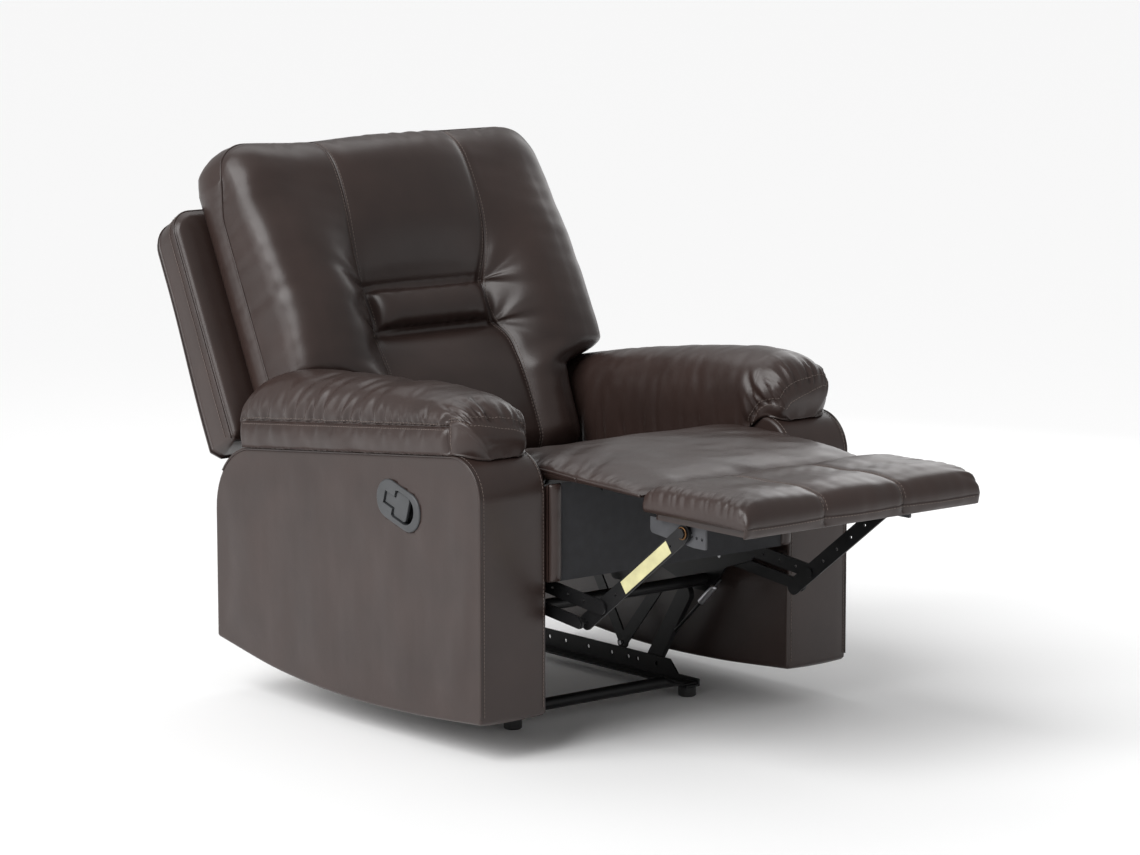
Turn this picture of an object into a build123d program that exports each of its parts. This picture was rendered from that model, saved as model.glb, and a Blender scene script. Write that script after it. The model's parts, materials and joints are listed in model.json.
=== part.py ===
"""Recliner armchair: padded back, two padded arm boxes, fold-out footrest on a metal base.

Millimetres, +Z up, the sitter faces -Y, +X is the sitter's left.  The origin lies on the floor under
the middle of the chair's bounding box as it stands at rest: footrest out, back upright.
"""
from build123d import *
from math import atan2, cos, degrees, hypot, radians, sin, tan
import os

os.makedirs("parts", exist_ok=True)

# ---------------------------------------------------------------- driving dimensions
WIDTH = 880.0             # over both arms
FRONT = -255.0            # Y of the arms' front faces
ARM_LENGTH = 815.0
ARM_THICKNESS = 150.0
ARM_SLOPE = 5.7           # degrees, the arm's top rises towards the front
ARM_CORNER_REAR = 130.0
ARM_CORNER_FRONT = 75.0
ARM_WALL = 9.0            # leather and wadding over the arm's board
BOARD = 15.0              # plywood sheet
BACK_LEAN = 26.0          # degrees from vertical
PLATE = 4.0               # mechanism steel
RAIL_PLATE = 4.0
LINK_WIDTH = 26.0
PIN_R = 4.0
PIN_FIT = 0.08            # radial play of a link on its pin
GAP = 0.3                 # between faces of different bodies

HALF = WIDTH / 2
ARM_INNER = HALF - ARM_THICKNESS
REAR = FRONT + ARM_LENGTH
SIDES = (("left", 1), ("right", -1))


def at(y, z):
    """A point of a side view, with y counted from the arms' front faces."""
    return (FRONT + y, z)


# ---------------------------------------------------------------- pivots, side view
BACK_PIVOT = at(685, 352)
LINK_PIVOT = at(114, 303)         # lower link on the side plate
KNEE_PIVOT = at(-105, 278)        # lower link to upper link
BRACKET_PIVOT = at(-322, 441)     # upper link to the footrest bracket
TAIL_LENGTH = 55.0                # the upper link's tail past the knee
CHAISE_PIVOT = at(-8, 492)
CHAISE_FOLD = at(-123.5, 492)

upper_dy = KNEE_PIVOT[0] - BRACKET_PIVOT[0]
upper_dz = KNEE_PIVOT[1] - BRACKET_PIVOT[1]
upper_length = hypot(upper_dy, upper_dz)
tail_dy = TAIL_LENGTH * upper_dy / upper_length
tail_dz = TAIL_LENGTH * upper_dz / upper_length
TAIL_PIVOT = (KNEE_PIVOT[0] + tail_dy, KNEE_PIVOT[1] + tail_dz)
CONTROL_PIVOT = (LINK_PIVOT[0] + tail_dy, LINK_PIVOT[1] + tail_dz)

# ---------------------------------------------------------------- planes across the chair (X of the inner face)
BRACKET_X = 240.0
UPPER_X = 246.0
LOWER_X = 252.0
SIDE_PLATE_X = 258.0
CONTROL_X = 264.0
SEAT_RAIL_X = 270.0
RAIL_X = 225.0

# backrest frame: v runs up along the back, w runs to the rear, from the back pivot
lean = radians(BACK_LEAN)


def back(v, w):
    """A point of the side view, given along (v) and behind (w) the leaning back."""
    return (BACK_PIVOT[0] + v * sin(lean) + w * cos(lean), BACK_PIVOT[1] + v * cos(lean) - w * sin(lean))


def back_plane(w):
    """The plane square to the seat-back at depth w: x across, y up along the back."""
    y, z = back(0, w)
    return Plane(origin=(0, y, z), x_dir=(-1, 0, 0), z_dir=(0, cos(lean), -sin(lean)))


def back_level(v):
    """The plane across the seat-back at height v: x across, y to the rear."""
    y, z = back(v, 0)
    return Plane(origin=(0, y, z), x_dir=(1, 0, 0), z_dir=(0, sin(lean), cos(lean)))


def side(x):
    """A side-view plane: its x is Y and its y is Z."""
    return Plane.YZ.offset(x)


def save(piece, name):
    piece.part.label = name
    export_step(piece.part, f"parts/{name}.step")


def strip(points, width):
    """A bar of even width with round ends through two or more points; call it inside a sketch."""
    for start, end in zip(points, points[1:]):
        turn = degrees(atan2(end[1] - start[1], end[0] - start[0]))
        middle = ((start[0] + end[0]) / 2, (start[1] + end[1]) / 2)
        with Locations(Location((middle[0], middle[1], 0), (0, 0, turn))):
            SlotCenterToCenter(hypot(end[0] - start[0], end[1] - start[1]), width)


def holes(points, radius):
    """Round holes at points; call it inside a sketch."""
    with Locations(*points):
        Circle(radius, mode=Mode.SUBTRACT)


def along(start, end, parts):
    """Evenly spaced points between two points, ends left out."""
    step = 1.0 / (parts + 1)
    return [(start[0] + (end[0] - start[0]) * step * (i + 1), start[1] + (end[1] - start[1]) * step * (i + 1))
            for i in range(parts)]


# ---------------------------------------------------------------- arms
ARM_BOTTOM = ((0, 72), (420, 55), (ARM_LENGTH, 103))
ARM_TOP_FRONT = 551.0
ARM_TOP_REAR = ARM_TOP_FRONT - ARM_LENGTH * tan(radians(ARM_SLOPE))
ARM_EDGE = 7.0
LEVER_AT = at(232, 435)
LEVER_TILT = 17.0                 # the lever's middle line falls this much towards the front
CUP_LENGTH = 130.0
CUP_HEIGHT = 72.0
CUP_DEPTH = 26.0
CUP_RIM = 4.0
CUP_FLANGE = 6.0


def corner(outline, y, z):
    """The outline's corner nearest to a point of the side view."""
    return outline.vertices().sort_by_distance((y, z, 0))[0]


def arm_outline(x, inset):
    """The arm seen from the side, on the plane at x: rocker-curved bottom, rounded top corners."""
    with BuildSketch(side(x)) as outline:
        with BuildLine():
            ThreePointArc(*[at(y, z) for y, z in ARM_BOTTOM])
            Polyline(at(*ARM_BOTTOM[-1]), at(ARM_LENGTH, ARM_TOP_REAR), at(0, ARM_TOP_FRONT),
                     at(*ARM_BOTTOM[0]))
        make_face()
        fillet(corner(outline, *at(ARM_LENGTH, ARM_TOP_REAR)), ARM_CORNER_REAR)
        fillet(corner(outline, *at(0, ARM_TOP_FRONT)), ARM_CORNER_FRONT)
        if inset:
            offset(amount=-inset, kind=Kind.INTERSECTION, mode=Mode.REPLACE)
    return outline.sketch


def lever_place(behind):
    """A place on the lever's tilted middle line, turned with it, counted from the cup's middle."""
    tilt = radians(LEVER_TILT)
    return Location((LEVER_AT[0] + behind * cos(tilt), LEVER_AT[1] + behind * sin(tilt), 0), (0, 0, LEVER_TILT))


def lever_slot(inset):
    """The release lever's stadium outline in the side view."""
    with Locations(lever_place(0)):
        SlotOverall(CUP_LENGTH - 2 * inset, CUP_HEIGHT - 2 * inset)


def make_arm(name, sign):
    """A board box under leather; the right arm is cut open for the release lever's cup."""
    with BuildPart() as cover:
        extrude(arm_outline(sign * ARM_INNER, 0), amount=sign * ARM_THICKNESS)
        rim = cover.edges().group_by(Axis.X)
        fillet(rim[0] + rim[-1], ARM_EDGE)
        extrude(arm_outline(sign * (ARM_INNER + ARM_WALL), ARM_WALL),
                amount=sign * (ARM_THICKNESS - 2 * ARM_WALL), mode=Mode.SUBTRACT)
        if sign < 0:
            with BuildSketch(side(-HALF - 1)):
                lever_slot(CUP_FLANGE)
            extrude(amount=ARM_WALL + 2, mode=Mode.SUBTRACT)
    save(cover, f"arm_cover_{name}")

    with BuildPart() as frame:
        extrude(arm_outline(sign * (ARM_INNER + ARM_WALL), ARM_WALL),
                amount=sign * (ARM_THICKNESS - 2 * ARM_WALL))
        extrude(arm_outline(sign * (ARM_INNER + ARM_WALL + BOARD), ARM_WALL + BOARD),
                amount=sign * (ARM_THICKNESS - 2 * ARM_WALL - 2 * BOARD), mode=Mode.SUBTRACT)
        if sign < 0:
            with BuildSketch(side(-HALF + ARM_WALL - 1)):
                lever_slot(CUP_FLANGE)
            extrude(amount=BOARD + 2, mode=Mode.SUBTRACT)
    save(frame, f"arm_frame_{name}")


PAD_INNER = ARM_INNER - 10
PAD_TOP = ((22, 630), (300, 645), (713, 606))


def make_arm_pad(name, sign):
    """The pillow on an arm; it laps over the arm's front."""
    def rest_on(y):
        return ARM_TOP_FRONT - y * tan(radians(ARM_SLOPE)) + 1.0

    with BuildPart() as pad:
        with BuildSketch(side(sign * PAD_INNER)) as outline:
            with BuildLine():
                ThreePointArc(*[at(y, z) for y, z in PAD_TOP])
                Polyline(at(*PAD_TOP[-1]), at(713, rest_on(713)), at(-6, rest_on(-6)))
                ThreePointArc(at(-6, rest_on(-6)), at(-30, 592), at(*PAD_TOP[0]))
            make_face()
            fillet(corner(outline, *at(713, 606)), 25)
        extrude(amount=sign * (HALF - PAD_INNER))
        rim = pad.edges().group_by(Axis.X)
        fillet(rim[0] + rim[-1], 12)
    save(pad, f"arm_pad_{name}")


# ---------------------------------------------------------------- release lever, in the right arm
LEVER_HINGE_X = -HALF + 3.0
LEVER_HINGE = 36.0                                # along the middle line, as below
HEAD_HEIGHT = 48.0
STEM_HEIGHT = 20.0
HEAD_FRONT = -26.0                                # head and stem ends, from the cup's middle
HEAD_REAR = 12.0
STEM_REAR = 40.0
POCKET_MIDDLE = -9.0
POCKET_LENGTH = 77.0
LEVER_THICKNESS = 5.0
LEVER_GAP = 2.0


def lever_outline(grow):
    """The T-shaped paddle seen from the side, grown by a gap."""
    with Locations(lever_place((HEAD_FRONT + HEAD_REAR) / 2)):
        RectangleRounded(HEAD_REAR - HEAD_FRONT + 2 * grow, HEAD_HEIGHT + 2 * grow, 7)
    with Locations(lever_place((HEAD_REAR + STEM_REAR) / 2 - 4)):
        Rectangle(STEM_REAR - HEAD_REAR + 8 + 2 * grow, STEM_HEIGHT + 2 * grow)


def make_lever():
    with BuildPart() as cup:
        with BuildSketch(side(-HALF - CUP_RIM)):
            lever_slot(0)
        extrude(amount=CUP_RIM)
        fillet(cup.edges().group_by(Axis.X)[0], 2.5)
        with BuildSketch(side(-HALF)):
            lever_slot(CUP_FLANGE + GAP)
        extrude(amount=CUP_DEPTH)
        with BuildSketch(side(-HALF - CUP_RIM)):
            lever_outline(LEVER_GAP)
        extrude(amount=LEVER_THICKNESS + 7, mode=Mode.SUBTRACT)
        with BuildSketch(side(-HALF - CUP_RIM)):
            with Locations(lever_place(POCKET_MIDDLE)):
                SlotOverall(POCKET_LENGTH, HEAD_HEIGHT + 2 * LEVER_GAP)
            with Locations(lever_place(HEAD_REAR + LEVER_GAP + 20)):
                Rectangle(40, CUP_HEIGHT, mode=Mode.SUBTRACT)
        extrude(amount=CUP_DEPTH + CUP_RIM - 3, mode=Mode.SUBTRACT)
    save(cup, "lever_cup")

    with BuildPart() as lever:
        with BuildSketch(side(-HALF - 1)):
            lever_outline(0)
        extrude(amount=LEVER_THICKNESS)
        fillet(lever.edges().group_by(Axis.X)[0], 1.5)
        hinge, tilt = lever_place(LEVER_HINGE).position, radians(LEVER_TILT)
        pin = Plane(origin=(LEVER_HINGE_X, hinge.X, hinge.Y), x_dir=(1, 0, 0), z_dir=(0, -sin(tilt), cos(tilt)))
        with BuildSketch(pin):
            Circle(3.2)
        extrude(amount=STEM_HEIGHT / 2, both=True)
    save(lever, "lever_handle")


# ---------------------------------------------------------------- seat
SEAT_HALF = 278.0
SEAT_TOP = ((-3, 533), (250, 494), (585, 424))
SEAT_BOTTOM_FRONT = 495.0
SEAT_BOTTOM_REAR = 366.0
BOARD_BOTTOM = 312.0
BOARD_TOP = 488.0
FABRIC = 2.5


def make_seat():
    with BuildPart() as cushion:
        with BuildSketch(side(-SEAT_HALF)) as outline:
            with BuildLine():
                ThreePointArc(*[at(y, z) for y, z in SEAT_TOP])
                Polyline(at(*SEAT_TOP[-1]), at(585, SEAT_BOTTOM_REAR), at(30, SEAT_BOTTOM_FRONT - 12),
                         at(-3, SEAT_BOTTOM_FRONT), at(*SEAT_TOP[0]))
            make_face()
            fillet(corner(outline, *at(585, 424)), 25)
        extrude(amount=2 * SEAT_HALF)
        rim = cushion.edges().group_by(Axis.X)
        fillet(rim[0] + rim[-1], 8)
    save(cushion, "seat_cushion")

    with BuildPart() as board:
        with BuildSketch(side(-ARM_INNER + 1)) as outline:
            Polygon(at(-5, BOARD_BOTTOM), at(-5, BOARD_TOP), at(12, BOARD_TOP - 8), at(12, BOARD_BOTTOM),
                    align=None)
        extrude(amount=2 * (ARM_INNER - 1))
    save(board, "front_board")

    with BuildPart() as fabric:
        with BuildSketch(side(-264)):
            with Locations(at(-5 - FABRIC / 2, (BOARD_BOTTOM + BOARD_TOP) / 2)):
                Rectangle(FABRIC, BOARD_TOP - BOARD_BOTTOM)
        extrude(amount=2 * 264)
    save(fabric, "front_fabric")

    for name, sign in SIDES:
        with BuildPart() as trim:
            with BuildSketch(side(sign * 264)):
                with Locations(at(-5 - FABRIC, (BOARD_BOTTOM + BOARD_TOP) / 2)):
                    Rectangle(2 * FABRIC, BOARD_TOP - BOARD_BOTTOM)
            extrude(amount=sign * (ARM_INNER - 1 - 264))
        save(trim, f"front_trim_{name}")

        with BuildPart() as rail:
            with BuildSketch(side(sign * SEAT_RAIL_X)):
                Polygon(at(12, 395), at(12, 466), at(585, 340), at(585, 276), at(300, 330), align=None)
            extrude(amount=sign * 18)
        save(rail, f"seat_rail_{name}")

    with BuildPart() as rear:
        with BuildSketch(side(-SIDE_PLATE_X)):
            Polygon(at(588, 280), at(588, 338), at(606, 338), at(606, 280), align=None)
        extrude(amount=2 * SIDE_PLATE_X)
    save(rear, "seat_rear_rail")


SPRING_WIRE = 1.9
SPRING_COUNT = 5
SPRING_PITCH = 100.0
SPRING_BENDS = 12
SPRING_SWING = 22.0


def make_springs():
    """Zigzag seat springs, from the front board to the rear rail, under the cushion."""
    front = at(13.2, 455)
    rear = at(585, 331)
    length = hypot(rear[0] - front[0], rear[1] - front[1])
    slope = Plane(origin=(0, front[0], front[1]), x_dir=(1, 0, 0),
                  z_dir=(0, (rear[1] - front[1]) / length * -1, (rear[0] - front[0]) / length))
    step = length / (SPRING_BENDS + 1)
    with BuildPart() as springs:
        for index in range(SPRING_COUNT):
            middle = (index - (SPRING_COUNT - 1) / 2) * SPRING_PITCH
            bends = [(middle + SPRING_SWING * (-1) ** i, step * (i + 1)) for i in range(SPRING_BENDS)]
            with BuildSketch(slope):
                with BuildLine() as zigzag:
                    FilletPolyline((middle, 0), *bends, (middle, length), radius=9)
                trace(line_width=2 * SPRING_WIRE)
            extrude(amount=2 * SPRING_WIRE)
    save(springs, "seat_springs")


# ---------------------------------------------------------------- metal base
RAIL_FRONT = 178.0
RAIL_REAR = 760.0
RAIL_BOTTOM = 19.0
RAIL_TOP = 58.0
RAIL_FLANGE = 30.0
FOOT_R = 17.0
FEET = (195.0, 742.0)
FOOT_X = RAIL_X - 13.0
TUBE_R = 11.5
TUBE_FLAT = 5.0
RAIL_HOLES = (299, 356, 384, 434, 505, 575, 625)


def make_rail(name, sign):
    with BuildPart() as rail:
        with BuildSketch(side(sign * RAIL_X)) as outline:
            Polygon(at(RAIL_FRONT, RAIL_BOTTOM), at(RAIL_FRONT, 33), at(238, 33), at(262, RAIL_TOP),
                    at(RAIL_REAR - 50, RAIL_TOP), at(RAIL_REAR - 30, 33), at(RAIL_REAR, 33),
                    at(RAIL_REAR, RAIL_BOTTOM), align=None)
            holes([at(y, 43) for y in RAIL_HOLES], 4.5)
        extrude(amount=sign * RAIL_PLATE)
        with BuildSketch(side(sign * (RAIL_X - RAIL_FLANGE))):
            with Locations(at((RAIL_FRONT + RAIL_REAR) / 2, RAIL_BOTTOM + RAIL_PLATE / 2)):
                Rectangle(RAIL_REAR - RAIL_FRONT, RAIL_PLATE)
        extrude(amount=sign * RAIL_FLANGE)
    save(rail, f"base_rail_{name}")


def make_feet():
    with BuildPart() as feet:
        spots = [(sign * FOOT_X, FRONT + y) for name, sign in SIDES for y in FEET]
        with BuildSketch(Plane.XY):
            with Locations(*spots):
                Circle(FOOT_R)
        extrude(amount=RAIL_BOTTOM)
        chamfer(feet.edges().group_by(Axis.Z)[0], 2.5)
        fillet(feet.edges().group_by(Axis.Z)[-1], 2.5)
    save(feet, "base_feet")


def make_cross_tube(name, y):
    """A round tube whose flattened ends lie on the rails' flanges."""
    bottom = RAIL_BOTTOM + RAIL_PLATE
    with BuildPart() as tube:
        with BuildSketch(side(-150)):
            with Locations(at(y, bottom + TUBE_R)):
                Circle(TUBE_R)
        extrude(amount=300)
        for sign in (1, -1):
            with BuildSketch(side(sign * 150)):
                with Locations(at(y, bottom + TUBE_R)):
                    Circle(TUBE_R)
            with BuildSketch(side(sign * 190)):
                with Locations(at(y, bottom + TUBE_FLAT / 2)):
                    SlotOverall(30, TUBE_FLAT)
            loft()
            with BuildSketch(side(sign * 190)):
                with Locations(at(y, bottom + TUBE_FLAT / 2)):
                    SlotOverall(30, TUBE_FLAT)
            extrude(amount=sign * (RAIL_X - 191))
    save(tube, f"base_cross_tube_{name}")


def make_upright(name, sign):
    """A channel from the rail up to the torque tube, and its foot on the rail."""
    foot = at(318, 46)
    head = at(226, 190)
    with BuildPart() as upright:
        with BuildSketch(side(sign * (RAIL_X + RAIL_PLATE))):
            strip([foot, head], 34)
        extrude(amount=sign * 12)
        with BuildSketch(side(sign * (RAIL_X + RAIL_PLATE + 3))):
            strip([foot, head], 26)
        extrude(amount=sign * 12, mode=Mode.SUBTRACT)
    save(upright, f"base_upright_{name}")


def make_base_links(name, sign):
    """Two straight links that meet low between the rail and the side plate."""
    low = at(408, 66)
    tops = {"front": (at(301, 190), 0.0), "rear": (at(500, 210), PLATE + GAP)}
    for place, (top, shift) in tops.items():
        with BuildPart() as link:
            with BuildSketch(side(sign * (RAIL_X + RAIL_PLATE + shift))):
                strip([low, top], 24)
                holes([low, top], PIN_R)
            extrude(amount=sign * PLATE)
        save(link, f"base_link_{place}_{name}")


def make_torque_tube():
    with BuildPart() as tube:
        with BuildSketch(side(-SIDE_PLATE_X)):
            with Locations(at(200, 219)):
                Circle(TUBE_R)
                Circle(TUBE_R - 1.8, mode=Mode.SUBTRACT)
        extrude(amount=2 * SIDE_PLATE_X)
    save(tube, "torque_tube")


# ---------------------------------------------------------------- mechanism
def pin(points, start, end, head=7.0, head_thickness=3.0):
    """Pins across the chair between two X values, with a round head at the end value."""
    way = 1 if end > start else -1
    with BuildPart() as pins:
        with BuildSketch(side(start)):
            with Locations(*points):
                Circle(PIN_R)
        extrude(amount=end - start)
        with BuildSketch(side(end)):
            with Locations(*points):
                Circle(head)
        extrude(amount=way * head_thickness)
    return pins.part


def make_side_plate(name, sign):
    """The fixed plate that carries the back hinge and the footrest links."""
    with BuildPart() as plate:
        with BuildSketch(side(sign * SIDE_PLATE_X)) as outline:
            Polygon(at(62, 276), at(62, 322), at(130, 362), at(430, 330), at(690, 378), at(712, 352),
                    at(690, 318), at(520, 262), at(470, 180), at(440, 180), at(360, 236), at(230, 196),
                    at(182, 196), at(140, 250), align=None)
            fillet(outline.vertices(), 10)
            holes([LINK_PIVOT, CONTROL_PIVOT, BACK_PIVOT], PIN_R)
            holes([at(200, 219)], TUBE_R)
            holes([at(300, 290), at(360, 290), at(420, 285), at(480, 285)], 5)
        extrude(amount=sign * PLATE)
    save(plate, f"side_plate_{name}")


def make_link(name, sign, body, x, points, width=LINK_WIDTH, extra_holes=()):
    with BuildPart() as link:
        with BuildSketch(side(sign * x)):
            strip(points, width)
            holes(points, PIN_R + PIN_FIT)
            if extra_holes:
                holes(extra_holes, 3)
        extrude(amount=sign * PLATE)
    save(link, f"{body}_{name}")


def make_links(name, sign):
    make_link(name, sign, "lower_link", LOWER_X, [LINK_PIVOT, KNEE_PIVOT],
              extra_holes=along(LINK_PIVOT, KNEE_PIVOT, 4))
    make_link(name, sign, "control_link", CONTROL_X, [CONTROL_PIVOT, TAIL_PIVOT], width=22)
    with BuildPart() as upper:
        with BuildSketch(side(sign * UPPER_X)):
            strip([TAIL_PIVOT, BRACKET_PIVOT], 30)
            holes([KNEE_PIVOT, BRACKET_PIVOT], PIN_R + PIN_FIT)
            holes([TAIL_PIVOT], PIN_R)
            holes(along(KNEE_PIVOT, BRACKET_PIVOT, 5), 3)
        extrude(amount=sign * PLATE)
    save(upper, f"upper_link_{name}")


def make_pins():
    """Rivets, one group of separate solids for each body that carries them."""
    with BuildPart() as plate_pins:
        for name, sign in SIDES:
            add(pin([LINK_PIVOT], sign * (SIDE_PLATE_X + PLATE), sign * (LOWER_X - GAP)))
            add(pin([CONTROL_PIVOT], sign * SIDE_PLATE_X, sign * (CONTROL_X + PLATE + GAP), head_thickness=2.0))
            add(pin([BACK_PIVOT], sign * (SIDE_PLATE_X + PLATE), sign * (LOWER_X - GAP), head=10.0))
            add(pin([at(408, 66)], sign * RAIL_X, sign * (RAIL_X + 3 * PLATE + GAP), head=9.0))
            add(pin([at(301, 190), at(500, 210)], sign * (RAIL_X + RAIL_PLATE), sign * SIDE_PLATE_X, head=PIN_R))
    save(plate_pins, "plate_pins")

    with BuildPart() as knee_pins:
        for name, sign in SIDES:
            add(pin([KNEE_PIVOT], sign * (LOWER_X + PLATE), sign * (UPPER_X - GAP), head=9.0))
    save(knee_pins, "knee_pins")

    with BuildPart() as tail_pins:
        for name, sign in SIDES:
            add(pin([TAIL_PIVOT], sign * UPPER_X, sign * (CONTROL_X + PLATE + GAP), head=9.0))
    save(tail_pins, "tail_pins")

    with BuildPart() as bolts:
        for name, sign in SIDES:
            add(pin([BRACKET_PIVOT], sign * BRACKET_X, sign * (UPPER_X + PLATE + GAP), head=15.0, head_thickness=2.0))
            with BuildSketch(side(sign * (UPPER_X + PLATE + GAP + 2.0))):
                with Locations(BRACKET_PIVOT):
                    RegularPolygon(9.5, 6)
            extrude(amount=sign * 7)
    save(bolts, "footrest_bolts")


LABEL_LENGTH = 150.0
LABEL_WIDTH = 24.0
LABEL_THICKNESS = 0.5


def make_label():
    """A plain blank sticker on the right upper link's outer face."""
    turn = degrees(atan2(upper_dz, upper_dy))
    middle = (BRACKET_PIVOT[0] + 0.46 * upper_dy, BRACKET_PIVOT[1] + 0.46 * upper_dz)
    with BuildPart() as label:
        with BuildSketch(side(-UPPER_X - PLATE)):
            with Locations(Location((middle[0], middle[1], 0), (0, 0, turn))):
                Rectangle(LABEL_LENGTH, LABEL_WIDTH)
        extrude(amount=-LABEL_THICKNESS)
    save(label, "blank_label")


ROD_FOOT = at(240, 118)
ROD_HEAD = at(112, 236)
ROD_X = 222.0


def make_assist(name, sign):
    """The bright spring barrel on a thin rod, inside each side plate."""
    length = hypot(ROD_HEAD[0] - ROD_FOOT[0], ROD_HEAD[1] - ROD_FOOT[1])
    axis = (0, (ROD_HEAD[0] - ROD_FOOT[0]) / length, (ROD_HEAD[1] - ROD_FOOT[1]) / length)
    foot = Plane(origin=(sign * ROD_X, ROD_FOOT[0], ROD_FOOT[1]), x_dir=(1, 0, 0), z_dir=axis)
    with BuildPart() as assist:
        with BuildSketch(foot):
            Circle(3.0)
        extrude(amount=length)
        with BuildSketch(foot.offset(0.48 * length)):
            Circle(7.0)
        extrude(amount=0.4 * length)
    save(assist, f"assist_spring_{name}")


# ---------------------------------------------------------------- footrest
PAD_HALF = 270.0
PAD_REAR = -243.0
PAD_FRONT = -510.0
PAD_LOW = 470.0
PAD_HIGH = 507.0
FOOT_BOARD = 12.0
BRACKET_LOW = 417.0
BRACKET_HIGH = PAD_LOW - FOOT_BOARD - 1.0


def make_footrest():
    with BuildPart() as pad:
        with BuildSketch(side(-PAD_HALF)):
            with Locations(at((PAD_REAR + PAD_FRONT) / 2, (PAD_LOW + PAD_HIGH) / 2)):
                RectangleRounded(PAD_REAR - PAD_FRONT, PAD_HIGH - PAD_LOW, 13)
        extrude(amount=2 * PAD_HALF)
        rim = pad.edges().group_by(Axis.X)
        fillet(rim[0] + rim[-1], 10)
    save(pad, "footrest_pad")

    with BuildPart() as board:
        with BuildSketch(Plane.XY.offset(BRACKET_HIGH)):
            with Locations(at((PAD_REAR + PAD_FRONT) / 2, 0)[::-1]):
                RectangleRounded(2 * PAD_HALF - 20, PAD_REAR - PAD_FRONT - 22, 12)
        extrude(amount=PAD_LOW - 0.2 - BRACKET_HIGH)
    save(board, "footrest_board")

    for name, sign in SIDES:
        with BuildPart() as bracket:
            with BuildSketch(side(sign * BRACKET_X)) as outline:
                Polygon(at(-227, BRACKET_HIGH), at(-227, BRACKET_LOW + 12), at(-340, BRACKET_LOW),
                        at(-371, BRACKET_LOW), at(-371, BRACKET_HIGH), align=None)
                fillet(corner(outline, *at(-227, BRACKET_LOW + 12)), 8)
                fillet(corner(outline, *at(-371, BRACKET_LOW)), 3)
                holes([BRACKET_PIVOT], PIN_R)
                holes([at(-336, 437), at(-348, 435), at(-362, 434)], 3)
            extrude(amount=sign * PLATE)
            with BuildSketch(side(sign * BRACKET_X)):
                with Locations(at((-227 - 371) / 2, BRACKET_HIGH - PLATE / 2)):
                    Rectangle(144, PLATE)
            extrude(amount=-sign * 26)
        save(bracket, f"footrest_bracket_{name}")


CHAISE_THICKNESS = 27.0
CHAISE_REAR = ((-10, -121.5), "chaise_pad_rear")
CHAISE_FRONT = ((-125.5, -232), "chaise_pad_front")


def make_chaise():
    """The pad that bridges seat and footrest, in two leaves that fold at the middle."""
    for (rear, front), name in (CHAISE_REAR, CHAISE_FRONT):
        with BuildPart() as leaf:
            with BuildSketch(side(-PAD_HALF)):
                with Locations(at((rear + front) / 2, CHAISE_PIVOT[1] + 1 + CHAISE_THICKNESS / 2)):
                    RectangleRounded(rear - front, CHAISE_THICKNESS, 5)
            extrude(amount=2 * PAD_HALF)
        save(leaf, name)


# ---------------------------------------------------------------- backrest
SHELL_LOW = 150.0
SHELL_HIGH = 592.0
SHELL_DEPTH = 85.0
SHELL_CORNER = 55.0
SHELL_WALL = 8.0
BRACKET_W = 26.0
BRACKET_WIDTH = 32.0
FRAME_W = 44.0
WING_HALF = 370.0
WING_LOW = 250.0
NARROW_HALF = 270.0
BACK_FACE = ((690, -18), (712, -45), (706, -100), (660, -145), (450, -178), (WING_LOW, -192))
LOWER_FACE = ((WING_LOW, -18), (WING_LOW, -192), (130, -160), (35, -112), (35, -18))


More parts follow.
